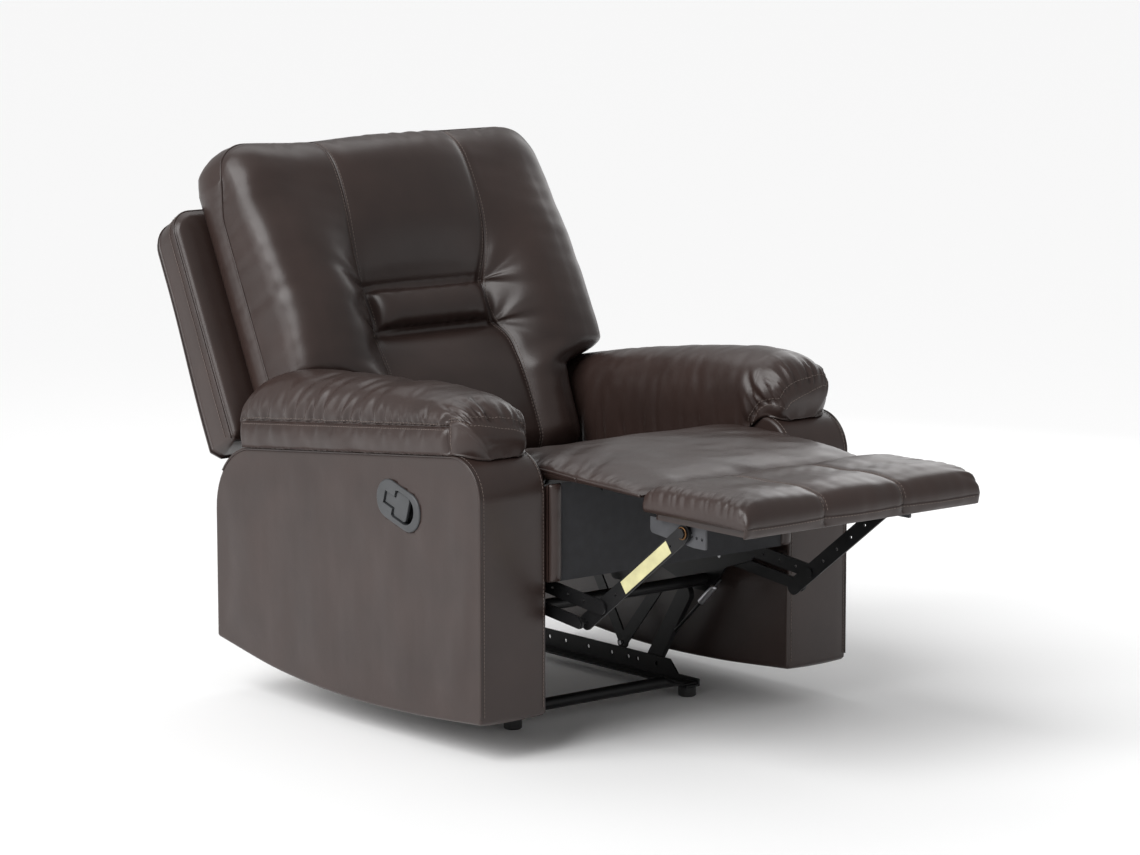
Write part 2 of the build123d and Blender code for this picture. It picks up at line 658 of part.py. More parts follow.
def make_backrest():
    middle_v = (SHELL_LOW + SHELL_HIGH) / 2
    height = SHELL_HIGH - SHELL_LOW
    with BuildPart() as shell:
        with BuildSketch(back_plane(0)) as outline:
            with Locations((0, middle_v)):
                Rectangle(WIDTH, height)
            fillet(outline.vertices().group_by(Axis.Y)[-1], SHELL_CORNER)
            fillet(outline.vertices().group_by(Axis.Y)[0], 12)
        extrude(amount=SHELL_DEPTH)
        fillet(shell.faces().sort_by(Axis((0, 0, 0), back_plane(0).z_dir))[-1].edges(), 22)
        fillet(shell.faces().sort_by(Axis((0, 0, 0), back_plane(0).z_dir))[0].edges(), 5)
        with BuildSketch(back_plane(SHELL_WALL)) as cavity:
            with Locations((0, middle_v - 20)):
                Rectangle(WIDTH - 2 * SHELL_WALL, height + 40 - 2 * SHELL_WALL)
            fillet(cavity.vertices().group_by(Axis.Y)[-1], SHELL_CORNER - SHELL_WALL)
        extrude(amount=SHELL_DEPTH - 2 * SHELL_WALL, mode=Mode.SUBTRACT)
    save(shell, "back_shell")

    with BuildPart() as frame:
        with BuildSketch(back_plane(FRAME_W)):
            with Locations((0, middle_v + 4)):
                RectangleRounded(WIDTH - 40, height - 36, 40)
                RectangleRounded(WIDTH - 170, height - 166, 20, mode=Mode.SUBTRACT)
        extrude(amount=SHELL_DEPTH - SHELL_WALL - FRAME_W)
    save(frame, "back_frame")

    with BuildPart() as under:
        with BuildSketch(back_level(SHELL_LOW + 2)):
            with Locations((0, SHELL_DEPTH / 2)):
                RectangleRounded(WIDTH - 2 * SHELL_WALL - 2, SHELL_DEPTH - 2 * SHELL_WALL - 2, 3)
            with Locations((LOWER_X + PLATE / 2, BRACKET_W), (-LOWER_X - PLATE / 2, BRACKET_W)):
                Rectangle(PLATE + 2, BRACKET_WIDTH + 0.8, mode=Mode.SUBTRACT)
        extrude(amount=3)
    save(under, "back_underside")

    with BuildPart() as lower:
        with BuildSketch(back_plane(44)):
            with Locations((0, 80)):
                Rectangle(490, 130)
        extrude(amount=3)
    save(lower, "back_lower_panel")

    with BuildPart() as rail:
        with BuildSketch(back_plane(2)):
            with Locations((0, 40)):
                Rectangle(2 * LOWER_X - 1, 40)
        extrude(amount=20)
    save(rail, "back_bottom_rail")

    for name, sign in SIDES:
        with BuildPart() as bracket:
            with BuildSketch(side(sign * LOWER_X)):
                strip([back(0, 0), back(60, BRACKET_W), back(260, BRACKET_W)], BRACKET_WIDTH)
                holes([back(0, 0)], PIN_R + PIN_FIT)
                holes([back(v, BRACKET_W) for v in (95, 175, 230)], 3)
            extrude(amount=sign * PLATE)
        save(bracket, f"back_bracket_{name}")

    with BuildPart() as cushion:
        with BuildSketch(side(-WING_HALF)):
            Polygon(*[back(v, w) for v, w in BACK_FACE], back(WING_LOW, -18), align=None)
        extrude(amount=2 * WING_HALF)
        with BuildSketch(side(-NARROW_HALF)):
            Polygon(*[back(v, w) for v, w in LOWER_FACE], align=None)
        extrude(amount=2 * NARROW_HALF)
    save(cushion, "back_cushion")


def make_hook():
    """A small hook under the seat's front edge that holds the cover's zip."""
    with BuildPart() as hook:
        with BuildSketch(side(-172)):
            with Locations(at(-5 - FABRIC - 4, BOARD_TOP - 12)):
                SlotOverall(22, 7, rotation=90)
                Circle(2.0, mode=Mode.SUBTRACT)
        extrude(amount=3)
    save(hook, "zip_pull")


for side_name, side_sign in SIDES:
    make_arm(side_name, side_sign)
    make_arm_pad(side_name, side_sign)
    make_rail(side_name, side_sign)
    make_upright(side_name, side_sign)
    make_base_links(side_name, side_sign)
    make_side_plate(side_name, side_sign)
    make_links(side_name, side_sign)
    make_assist(side_name, side_sign)
make_lever()
make_seat()
make_springs()
make_feet()
for tube_name, tube_y in zip(("front", "rear"), FEET):
    make_cross_tube(tube_name, tube_y)
make_torque_tube()
make_pins()
make_label()
make_footrest()
make_chaise()
make_backrest()
make_hook()
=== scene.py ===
"""Looks of the recliner armchair: leather, padding, stitching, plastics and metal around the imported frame."""
import json
import math

import bmesh
import bpy
import numpy as np
from mathutils import Matrix, Vector

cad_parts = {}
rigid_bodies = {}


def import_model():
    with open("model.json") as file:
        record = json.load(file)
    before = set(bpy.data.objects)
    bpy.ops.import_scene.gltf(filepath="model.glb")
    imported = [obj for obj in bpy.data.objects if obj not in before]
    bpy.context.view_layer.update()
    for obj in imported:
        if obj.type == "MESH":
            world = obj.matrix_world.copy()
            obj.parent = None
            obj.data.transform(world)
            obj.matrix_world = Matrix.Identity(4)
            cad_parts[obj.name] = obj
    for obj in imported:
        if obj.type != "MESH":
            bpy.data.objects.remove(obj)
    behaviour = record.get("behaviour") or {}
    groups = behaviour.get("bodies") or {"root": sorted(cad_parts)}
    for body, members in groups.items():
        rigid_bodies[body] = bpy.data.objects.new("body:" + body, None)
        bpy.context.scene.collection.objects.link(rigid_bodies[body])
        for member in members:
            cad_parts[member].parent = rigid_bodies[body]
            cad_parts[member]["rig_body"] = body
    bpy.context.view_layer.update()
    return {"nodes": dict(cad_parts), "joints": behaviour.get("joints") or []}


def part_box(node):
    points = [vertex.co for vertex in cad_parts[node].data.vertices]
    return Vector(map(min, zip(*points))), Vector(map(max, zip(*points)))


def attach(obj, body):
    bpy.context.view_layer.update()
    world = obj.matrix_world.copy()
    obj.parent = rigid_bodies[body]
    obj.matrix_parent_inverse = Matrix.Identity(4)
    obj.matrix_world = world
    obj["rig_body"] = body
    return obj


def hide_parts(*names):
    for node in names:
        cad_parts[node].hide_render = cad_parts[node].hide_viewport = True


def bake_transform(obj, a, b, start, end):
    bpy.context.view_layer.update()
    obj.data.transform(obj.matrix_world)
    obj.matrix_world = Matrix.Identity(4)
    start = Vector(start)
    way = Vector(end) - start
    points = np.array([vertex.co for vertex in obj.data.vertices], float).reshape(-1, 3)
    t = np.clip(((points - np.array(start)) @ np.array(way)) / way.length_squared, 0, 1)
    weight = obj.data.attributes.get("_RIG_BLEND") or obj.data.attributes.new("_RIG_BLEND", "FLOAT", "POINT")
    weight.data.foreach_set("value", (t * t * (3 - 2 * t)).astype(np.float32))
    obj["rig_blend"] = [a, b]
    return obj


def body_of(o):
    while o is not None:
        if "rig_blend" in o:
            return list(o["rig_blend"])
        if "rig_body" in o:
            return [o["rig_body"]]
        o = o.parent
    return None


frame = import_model()
NODES = frame["nodes"]
JOINTS = {joint["name"]: joint for joint in frame["joints"]}
SCENE = bpy.context.scene

# ---------------- places taken from the frame
# Lengths are in metres. A hand is -1 on the right side, where the lever is, and 1 on the left.
LEAN = math.radians(26.0)
PIVOT = np.array(JOINTS["recline"]["pos_m"], dtype=float)
UP = np.array([0.0, math.sin(LEAN), math.cos(LEAN)])
BEHIND = np.array([0.0, math.cos(LEAN), -math.sin(LEAN)])
ACROSS = np.array([1.0, 0.0, 0.0])
LEFT_ARM = [np.array(corner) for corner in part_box("arm_cover_left")]
ARM_FRONT = LEFT_ARM[0][1]
ARM_INNER, ARM_OUTER = LEFT_ARM[0][0], LEFT_ARM[1][0]


def back_places(x, v, depth):
    """Places on the leaning back: across, up along it, and forward of its rear plane."""
    x, v, depth = np.broadcast_arrays(x, v, depth)
    return PIVOT + x[..., None] * ACROSS + v[..., None] * UP - depth[..., None] * BEHIND


def places(x, y, z):
    """Places with y counted from the arms' fronts."""
    x, y, z = np.broadcast_arrays(x, y, z)
    return np.stack([x, y + ARM_FRONT, z], axis=-1)


# ---------------- curves and noise
def resample(values, old, new, axis=0):
    """Values on a row of places, read at new places by a smooth cubic."""
    values = np.moveaxis(np.asarray(values, dtype=float), axis, 0)
    old, new = np.asarray(old, dtype=float), np.clip(new, old[0], old[-1])
    slopes = np.gradient(values, old, axis=0)
    cell = np.clip(np.searchsorted(old, new, side="right") - 1, 0, len(old) - 2)
    shape = cell.shape + (1,) * (values.ndim - 1)
    width = (old[cell + 1] - old[cell]).reshape(shape)
    t = ((new - old[cell]).reshape(shape)) / width
    result = ((2 * t ** 3 - 3 * t ** 2 + 1) * values[cell] + (t ** 3 - 2 * t ** 2 + t) * width * slopes[cell]
              + (3 * t ** 2 - 2 * t ** 3) * values[cell + 1] + (t ** 3 - t ** 2) * width * slopes[cell + 1])
    return np.moveaxis(result, 0, axis)


def curve(points, at):
    """A smooth curve through (place, value) pairs, read at any array of places."""
    xs, ys = (np.array(column, dtype=float) for column in zip(*points))
    at = np.asarray(at, dtype=float)
    return resample(ys, xs, at.ravel()).reshape(at.shape)


def clamped(t):
    return np.clip(t, 0.0, 1.0)


def between(value, start, end):
    """How far a value is on the way from start to end, 0 to 1."""
    return clamped((value - start) / (end - start))


def quarter(steps):
    """Angles from 0 to a right angle."""
    return np.linspace(0.0, math.pi / 2, steps)


def smooth(t):
    """0 to 1 with level ends."""
    t = clamped(t)
    return t * t * (3.0 - 2.0 * t)


def bell(distance, width):
    """1 at no distance and near 0 past the width."""
    return np.exp(-(np.asarray(distance) / width) ** 2)


def dome(t, power):
    """A rounded edge: 1 inside, 0 with a steep end at t = 1."""
    return np.sqrt(np.maximum(0.0, 1.0 - clamped(t) ** power))


def shoulder(inside, width, power):
    """A rounded shoulder: 0 at an edge, and 1 from a width inside it."""
    return dome(1.0 - clamped(inside / width), power)


def unit(vectors):
    return vectors / np.maximum(np.linalg.norm(vectors, axis=-1, keepdims=True), 1e-9)


def turned_out(directions, points):
    """Directions, all flipped if they point at the middle of the points."""
    return directions if (directions * (points - points.mean(axis=0))).sum() >= 0 else -directions


def ripple(a, b, seed, scale):
    """Smooth seeded noise over two coordinates in metres, about -1 to 1."""
    rng = np.random.default_rng(seed)
    total = np.zeros(np.broadcast(a, b).shape)
    for octave in range(3):
        for _ in range(5):
            angle, phase = rng.uniform(0, 2 * math.pi, 2)
            rate = 2 * math.pi / scale * 1.9 ** octave * rng.uniform(0.7, 1.3)
            wave = np.sin((a * math.cos(angle) + b * math.sin(angle)) * rate + phase)
            total = total + wave * 0.55 ** octave
    return total / 4.0


def gathers(along, away, centres, seed, depth, reach, width, slant=0.0):
    """Folds that leave a seam: sunk lines with a ridge beside each, dying out away from it."""
    rng = np.random.default_rng(seed)
    total = np.zeros(np.broadcast(along, away).shape)
    for centre in centres:
        size, length = rng.uniform(0.45, 1.0), rng.uniform(0.5, 1.2)
        wide, lean = rng.uniform(0.6, 1.3), rng.normal()
        path = along - centre - (slant + 0.18 * lean) * away
        spread = width * wide * (1.0 + 1.2 * np.abs(away) / reach)
        fade = np.exp(-(np.abs(away) / (reach * length)) ** 2)
        ridge = 0.55 * bell(path - 1.5 * spread, 1.1 * spread)
        total = total + depth * size * fade * (ridge - bell(path, spread))
    return total


def scattered(start, end, step, seed):
    """Uneven places from start to end, about a step apart."""
    rng = np.random.default_rng(seed)
    count = max(1, int((end - start) / step))
    return start + (np.arange(count) + 0.5 + rng.uniform(-0.33, 0.33, count)) * (end - start) / count


SEAM_GRID = (0.0, 0.0008, 0.0018, 0.0035, 0.007)


def spaced(start, end, step, seams=()):
    """Grid places from start to end, closer together beside each seam."""
    marks = {start, end}
    for seam in seams:
        for offset in SEAM_GRID:
            marks |= {round(seam - offset, 6), round(seam + offset, 6)}
    marks = sorted(m for m in marks if start <= m <= end)
    row = [marks[0]]
    for mark in marks[1:]:
        count = max(1, math.ceil((mark - row[-1]) / step - 1e-6))
        row += list(np.linspace(row[-1], mark, count + 1)[1:])
    return np.array(row)


# ---------------- meshes
def new_object(name, points, faces, material):
    mesh = bpy.data.meshes.new(name)
    mesh.from_pydata(np.asarray(points).reshape(-1, 3).tolist(), [], faces)
    mesh.materials.append(material)
    mesh.polygons.foreach_set("use_smooth", [True] * len(mesh.polygons))
    obj = bpy.data.objects.new(name, mesh)
    SCENE.collection.objects.link(obj)
    return obj


def face_outward(obj):
    mesh = bmesh.new()
    mesh.from_mesh(obj.data)
    bmesh.ops.recalc_face_normals(mesh, faces=mesh.faces)
    mesh.to_mesh(obj.data)
    mesh.free()
    return obj


def grid_faces(index):
    a, b, c, d = index[:-1, :-1], index[:-1, 1:], index[1:, 1:], index[1:, :-1]
    return np.stack([a, b, c, d], axis=-1).reshape(-1, 4).tolist()


def rim(index):
    """A grid's edge, in order round it."""
    return np.concatenate([index[0, :-1], index[:-1, -1], index[-1, :0:-1], index[:0:-1, 0]])


def rim_sides(ring, rows, columns):
    """The four sides of a ring round a grid, each with both its ends."""
    whole = np.concatenate([ring, ring[:1]])
    cuts = np.cumsum([0, columns - 1, rows - 1, columns - 1, rows - 1])
    return [whole[start:end + 1] for start, end in zip(cuts, cuts[1:])]


class Cushion:
    """A closed form: a top grid, a bottom grid and the rings of points that join their edges."""

    def __init__(self, across, along, top, bottom, rings):
        self.across, self.along = np.asarray(across), np.asarray(along)
        self.top, self.bottom, self.rings = top, bottom, list(rings)

    def points(self):
        return np.vstack([self.top.reshape(-1, 3), self.bottom.reshape(-1, 3), *self.rings])

    def moved(self, points):
        """The same cushion with its points elsewhere."""
        count = len(self.along) * len(self.across)
        size = 2 * (len(self.along) + len(self.across)) - 4
        rings = [points[2 * count + i * size:2 * count + (i + 1) * size] for i in range(len(self.rings))]
        shape = self.top.shape
        return Cushion(self.across, self.along, points[:count].reshape(shape),
                       points[count:2 * count].reshape(shape), rings)

    def faces(self):
        shape = self.top.shape[:2]
        count = shape[0] * shape[1]
        index = np.arange(count).reshape(shape)
        loops = [rim(index)]
        start = 2 * count
        for ring in self.rings:
            loops.append(start + np.arange(len(ring)))
            start += len(ring)
        loops.append(rim(index) + count)
        faces = grid_faces(index) + [face[::-1] for face in grid_faces(index + count)]
        for near, far in zip(loops, loops[1:]):
            faces += np.stack([near, far, np.roll(far, -1), np.roll(near, -1)], axis=-1).tolist()
        return faces

    def refined(self, across, along):
        """The same form on a finer grid."""
        rows, columns = self.top.shape[:2]

        def grid(values):
            return resample(resample(values, self.along, along, 0), self.across, across, 1)

        def loop(ring):
            sides = rim_sides(ring, rows, columns)
            new = [resample(sides[0], self.across, across), resample(sides[1], self.along, along),
                   resample(sides[2][::-1], self.across, across)[::-1],
                   resample(sides[3][::-1], self.along, along)[::-1]]
            return np.concatenate([side[:-1] for side in new])

        return Cushion(across, along, grid(self.top), grid(self.bottom), [loop(ring) for ring in self.rings])

    def normals(self):
        """Outward directions over the top grid."""
        down = np.gradient(self.top, self.along, axis=0)
        side = np.gradient(self.top, self.across, axis=1)
        normal = unit(np.cross(side, down))
        outward = (normal * (self.top - self.bottom)).sum()
        return normal if outward > 0 else -normal

    def raised(self, amount, edge=True):
        """The top grid moved along its normals; its edge points stay put unless edge is true."""
        top = self.top + self.normals() * amount[..., None]
        if not edge:
            for side in (np.s_[0], np.s_[-1], np.s_[:, 0], np.s_[:, -1]):
                top[side] = self.top[side]
        return Cushion(self.across, self.along, top, self.bottom, self.rings)

    def read(self, grid, a, b):
        """A grid's values at places in the cushion's own coordinates."""
        rows, columns = self.top.shape[:2]
        fa = np.interp(a, self.across, np.arange(columns))
        fb = np.interp(b, self.along, np.arange(rows))
        ia, ib = np.minimum(fa.astype(int), columns - 2), np.minimum(fb.astype(int), rows - 2)
        ta, tb = (fa - ia)[..., None], (fb - ib)[..., None]
        return ((grid[ib, ia] * (1 - ta) + grid[ib, ia + 1] * ta) * (1 - tb)
                + (grid[ib + 1, ia] * (1 - ta) + grid[ib + 1, ia + 1] * ta) * tb)

    def line(self, a, b):
        """Places and outward directions along a line drawn on the top."""
        a, b = np.broadcast_arrays(np.asarray(a, dtype=float), np.asarray(b, dtype=float))
        return self.read(self.top, a, b), self.read(self.normals(), a, b)

    def build(self, name, material=None):
        return face_outward(new_object(name, self.points(), self.faces(), material or LEATHER))


def rounded(thickness, radius, far_radius=None, swell=0.0, steps=4):
    """Ring places for a band with rounded edges: (share of the way across, how far out)."""
    far_radius = radius if far_radius is None else far_radius
    turn = [(i + 1) / steps * math.pi / 2 for i in range(steps)]
    near = [(radius * (1 - math.cos(t)) / thickness, radius * math.sin(t)) for t in turn]
    far = [(1 - far_radius * (1 - math.cos(t)) / thickness, far_radius * math.sin(t)) for t in reversed(turn)]
    middle = [(share, radius * (1 - share) + far_radius * share + swell * math.sin(math.pi * share))
              for share in (0.2, 0.35, 0.5, 0.65, 0.8)]
    return near + middle + far


def banded(across, along, top, bottom, profile):
    """A cushion with rings at (share of the way from top edge to bottom edge, distance outward)."""
    index = np.arange(top.shape[0] * top.shape[1]).reshape(top.shape[:2])
    near, far = top.reshape(-1, 3)[rim(index)], bottom.reshape(-1, 3)[rim(index)]
    tangent = np.roll(near, -1, axis=0) - np.roll(near, 1, axis=0)
    away = turned_out(unit(np.cross(tangent, unit(far - near))), near)
    rings = [near * (1 - share) + far * share + away * out for share, out in profile]
    return Cushion(across, along, top, bottom, rings)


SWELL_STEPS = 20


def inflated(cushion, held, pressure, cap, grow, calm):
    """The cushion after a short cloth simulation with air in it.

    held is how firmly each top point stays, cap the furthest a point goes, and calm the rounds of smoothing.
    """
    obj = cushion.build("swelling")
    group = obj.vertex_groups.new(name="held")
    count = held.size
    for index, weight in enumerate(held.ravel()):
        group.add([index], float(weight), "REPLACE")
    group.add(list(range(count, 2 * count)), 1.0, "REPLACE")
    swell = obj.modifiers.new("Swell", "CLOTH")
    settings = {"quality": 4, "mass": 0.3, "vertex_group_mass": "held", "pin_stiffness": 1.0,
                "shrink_min": -grow, "use_pressure": True, "uniform_pressure_force": pressure}
    for key, value in settings.items():
        setattr(swell.settings, key, value)
    swell.settings.effector_weights.gravity = 0.0
    swell.collision_settings.use_collision = False
    swell.point_cache.frame_start, swell.point_cache.frame_end = 1, SWELL_STEPS
    for step in range(1, SWELL_STEPS + 1):
        SCENE.frame_set(step)
    settled = obj.evaluated_get(bpy.context.evaluated_depsgraph_get()).to_mesh()
    points = np.empty(len(settled.vertices) * 3)
    settled.vertices.foreach_get("co", points)
    start = cushion.points()
    shift = points.reshape(-1, 3) - start
    length = np.linalg.norm(shift, axis=1, keepdims=True)
    shift *= cap * np.tanh(length / cap) / np.maximum(length, 1e-9)
    SCENE.frame_set(1)
    bpy.data.objects.remove(obj)
    swollen = shift[:count].reshape(cushion.top.shape)
    for _ in range(calm):
        inner = swollen[1:-1, 1:-1]
        ends = swollen[:-2, 1:-1] + swollen[2:, 1:-1] + swollen[1:-1, :-2] + swollen[1:-1, 2:]
        swollen[1:-1, 1:-1] = 0.5 * inner + 0.125 * ends
    shift[:count] = swollen.reshape(-1, 3)
    return cushion.moved(start + shift)


def circles(centres, radius, side, up, steps):
    """A ring of points round each centre, in the plane of its two directions."""
    turn = np.arange(steps)[None, :, None] * 2 * math.pi / steps
    return centres[:, None] + radius * (np.cos(turn) * side[:, None] + np.sin(turn) * up[:, None])


def wrapped(index):
    """A grid's indices with the first column again after the last."""
    return np.hstack([index, index[:, :1]])


def tube(name, path, radius, material, closed=False, sides=8):
    """A round bead swept along a path."""
    path = np.asarray(path, dtype=float)
    ahead = np.roll(path, -1, axis=0) - np.roll(path, 1, axis=0)
    if not closed:
        ahead[0], ahead[-1] = path[1] - path[0], path[-1] - path[-2]
    ahead = unit(ahead)
    side = unit(np.cross(ahead, [0.31, 0.17, 0.93]))
    rings = circles(path, radius, side, np.cross(side, ahead), sides)
    index = wrapped(np.arange(len(path) * sides).reshape(len(path), sides))
    if closed:
        index = np.vstack([index, index[:1]])
    faces = grid_faces(index)
    if not closed:
        faces += [index[0, :-1].tolist(), index[-1, :-1].tolist()]
    return face_outward(new_object(name, rings, faces, material))


STITCH = 0.0052
STITCH_GAP = 0.0017
THREAD = 0.00062


def stitch_points(path, normals):
    """The thread loops along a line: six-sided dashes that lie on the leather."""
    length = np.concatenate([[0.0], np.cumsum(np.linalg.norm(np.diff(path, axis=0), axis=1))])
    centres = np.arange(STITCH, length[-1] - STITCH, STITCH + STITCH_GAP)
    if len(centres) == 0:
        return np.empty((0, 24, 3))

    def at(distance, values):
        return np.stack([np.interp(distance, length, values[:, k]) for k in range(3)], axis=-1)

    loops = []
    for share, size, lift in ((-0.5, 0.45, -0.7), (-0.36, 1.0, 0.5), (0.36, 1.0, 0.5), (0.5, 0.45, -0.7)):
        place, up = at(centres + share * STITCH, path), at(centres, normals)
        ahead = at(centres + 0.5 * STITCH, path) - at(centres - 0.5 * STITCH, path)
        side = unit(np.cross(ahead, up))
        loops.append(circles(place + up * lift * THREAD, THREAD * size, side, up, 6))
    return np.concatenate(loops, axis=1)


def stitches(name, lines):
    """One mesh of every stitch along some lines of (places, outward directions)."""
    rows = np.concatenate([stitch_points(path, normals) for path, normals in lines])
    index = np.arange(24).reshape(4, 6)
    pattern = grid_faces(wrapped(index)) + [index[0].tolist(), index[-1, ::-1].tolist()]
    faces = [[vertex + 24 * i for vertex in face] for i in range(len(rows)) for face in pattern]
    return new_object(name, rows, faces, THREAD_BROWN)


# ---------------- materials
def new_material(name, colour, roughness, metallic=0.0):
    material = bpy.data.materials.new(name)
    material.use_nodes = True
    shader = material.node_tree.nodes["Principled BSDF"]
    shader.inputs["Base Color"].default_value = (*colour, 1.0)
    shader.inputs["Roughness"].default_value = roughness
    shader.inputs["Metallic"].default_value = metallic
    return material, shader


def node(material, kind, **values):
    made = material.node_tree.nodes.new(kind)
    for key, value in values.items():
        if hasattr(made, key):
            setattr(made, key, value)
        else:
            made.inputs[key.replace("_", " ")].default_value = value
    return made


def link(material, source, output, target, socket):
    material.node_tree.links.new(source.outputs[output], target.inputs[socket])


def noise(material, place, scale, detail):
    made = node(material, "ShaderNodeTexNoise", Scale=scale, Detail=detail)
    link(material, place, "Object", made, "Vector")
    return made


def drawn_out(material, stretch, scale, detail):
    """Noise drawn out into streaks."""
    squeeze = node(material, "ShaderNodeMapping", Scale=stretch)
    link(material, node(material, "ShaderNodeTexCoord"), "Object", squeeze, "Vector")
    made = node(material, "ShaderNodeTexNoise", Scale=scale, Detail=detail)
    link(material, squeeze, "Vector", made, "Vector")
    return made


def shaded(colour, share):
    return tuple(channel * share for channel in colour)


def tinted(material, shader, source, *stops):
    """Base colour that follows a pattern between two stops."""
    ramp = node(material, "ShaderNodeValToRGB")
    for element, (position, colour) in zip(ramp.color_ramp.elements, stops):
        element.position = position
        element.color = (*colour, 1.0)
    link(material, source, "Fac", ramp, "Fac")
    link(material, ramp, "Color", shader, "Base Color")


def glossed(material, shader, source, low, high):
    """Roughness that follows a pattern between two numbers."""
    made = node(material, "ShaderNodeMapRange")
    made.inputs["To Min"].default_value = low
    made.inputs["To Max"].default_value = high
    link(material, source, "Fac", made, "Value")
    link(material, made, "Result", shader, "Roughness")


def bumped(material, shader, layers):
    """Bump from several (source, output, strength, distance) layers, one on another."""
    last = None
    for source, output, strength, distance in layers:
        bump = node(material, "ShaderNodeBump", Strength=strength, Distance=distance)
        link(material, source, output, bump, "Height")
        if last:
            link(material, last, "Normal", bump, "Normal")
        last = bump
    link(material, last, "Normal", shader, "Normal")


def leather(name, colour, roughness):
    """Coated leather: a fine pebbled grain, faint mottling, and gloss that varies a little."""
    material, shader = new_material(name, colour, roughness)
    place = node(material, "ShaderNodeTexCoord")
    mottle, patch = noise(material, place, 9.0, 4.0), noise(material, place, 26.0, 2.0)
    tinted(material, shader, mottle, (0.3, shaded(colour, 0.86)), (0.7, shaded(colour, 1.13)))
    glossed(material, shader, patch, roughness - 0.05, roughness + 0.07)
    grain = node(material, "ShaderNodeTexVoronoi", Scale=620.0)
    link(material, place, "Object", grain, "Vector")
    pores = noise(material, place, 1500.0, 2.0)
    soft = noise(material, place, 55.0, 3.0)
    bumped(material, shader, ((soft, "Fac", 0.18, 0.0012), (grain, "Distance", 0.28, 0.00022),
                              (pores, "Fac", 0.12, 0.00012)))
    shader.inputs["Specular IOR Level"].default_value = 0.45
    shader.inputs["Coat Weight"].default_value = 0.06
    shader.inputs["Coat Roughness"].default_value = 0.25
    return material


def fabric(name, colour):
    """A plain woven dust cloth."""
    material, shader = new_material(name, colour, 0.85)
    place = node(material, "ShaderNodeTexCoord")
    weft = node(material, "ShaderNodeTexWave", bands_direction="X", Scale=330.0, Distortion=0.6)
    warp = node(material, "ShaderNodeTexWave", bands_direction="Z", Scale=330.0, Distortion=0.6)
    fuzz = noise(material, place, 60.0, 4.0)
    for wave in (weft, warp):
        link(material, place, "Object", wave, "Vector")
    tinted(material, shader, fuzz, (0.35, colour), (0.7, shaded(colour, 1.5)))
    bumped(material, shader, ((weft, "Fac", 0.25, 0.0003), (warp, "Fac", 0.25, 0.0003),
                              (fuzz, "Fac", 0.2, 0.001)))
    shader.inputs["Sheen Weight"].default_value = 0.2
    return material


def painted(name, colour, roughness, scale=90.0, metallic=0.0, bump=0.08, shine=0.5):
    """Powder-coated or moulded surface with a slight orange peel and uneven gloss."""
    material, shader = new_material(name, colour, roughness, metallic)
    shader.inputs["Specular IOR Level"].default_value = shine
    place = node(material, "ShaderNodeTexCoord")
    cloud = noise(material, place, 24.0, 4.0)
    tinted(material, shader, cloud, (0.3, shaded(colour, 0.8)), (0.7, shaded(colour, 1.2)))
    glossed(material, shader, cloud, roughness - 0.07, roughness + 0.09)
    peel = noise(material, place, scale * 10, 2.0)
    bumped(material, shader, ((peel, "Fac", bump, 0.0004),))
    return material


def brushed(name, colour, roughness):
    """Bright steel with fine lengthwise scratches."""
    material, shader = new_material(name, colour, roughness, 1.0)
    scratch = drawn_out(material, (30.0, 900.0, 900.0), 1.0, 3.0)
    glossed(material, shader, scratch, roughness - 0.1, roughness + 0.14)
    bumped(material, shader, ((scratch, "Fac", 0.1, 0.0002),))
    return material


def board_wood(name):
    """Plywood: stretched grain in two browns."""
    material, shader = new_material(name, (0.45, 0.32, 0.19), 0.7)
    grain = drawn_out(material, (12.0, 3.0, 60.0), 4.0, 5.0)
    tinted(material, shader, grain, (0.3, (0.33, 0.21, 0.11)), (0.7, (0.52, 0.38, 0.23)))
    bumped(material, shader, ((grain, "Fac", 0.2, 0.0006),))
    return material


LEATHER_BROWN = (0.0315, 0.0188, 0.0158)
LEATHER = leather("leather_panel", LEATHER_BROWN, 0.34)
THREAD_BROWN = painted("thread_brown", (0.135, 0.105, 0.092), 0.7)
MATERIALS = {
    "brown_leather": LEATHER,
    "board": board_wood("plywood"),
    "black_fabric": fabric("dust_cloth", (0.010, 0.0103, 0.0125)),
    "black_steel": painted("black_coated_steel", (0.0085, 0.0085, 0.009), 0.36, shine=0.3),
    "grey_steel": painted("grey_coated_steel", (0.07, 0.071, 0.077), 0.42, metallic=0.3),
    "bright_steel": brushed("bright_steel", (0.5, 0.5, 0.52), 0.3),
    "black_plastic": painted("black_moulding", (0.014, 0.014, 0.014), 0.5),
    "lever_plastic": painted("grey_moulding", (0.045, 0.047, 0.05), 0.4, scale=140.0),
    "label_film": painted("label_film", (0.56, 0.53, 0.29), 0.45, bump=0.02),
}
BRONZE = painted("bronze_washer", (0.19, 0.10, 0.045), 0.35, metallic=0.9)

for node_object in NODES.values():
    node_slot = node_object.data.materials[0].name.split(".")[0]
    node_object.data.materials.clear()
    node_object.data.materials.append(MATERIALS[node_slot])


def settle(piece, body, *replaced, slot="brown_leather", fill=None):
    """A finished piece rides on its body and stands for any CAD nodes it hides; the slot it is given is not
    used.
    """
    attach(piece, body)
    if replaced:
        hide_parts(*replaced)
    return piece


def sew(name, lines, body):
    settle(stitches(name, lines), body)


def welt(name, path, radius, body, closed=False):
    settle(tube(name, path, radius, LEATHER, closed), body)


def corners(name):
    """A CAD node's low and high corners."""
    return [np.array(corner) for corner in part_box(name)]


def sideways(hand):
    return "right" if hand < 0 else "left"


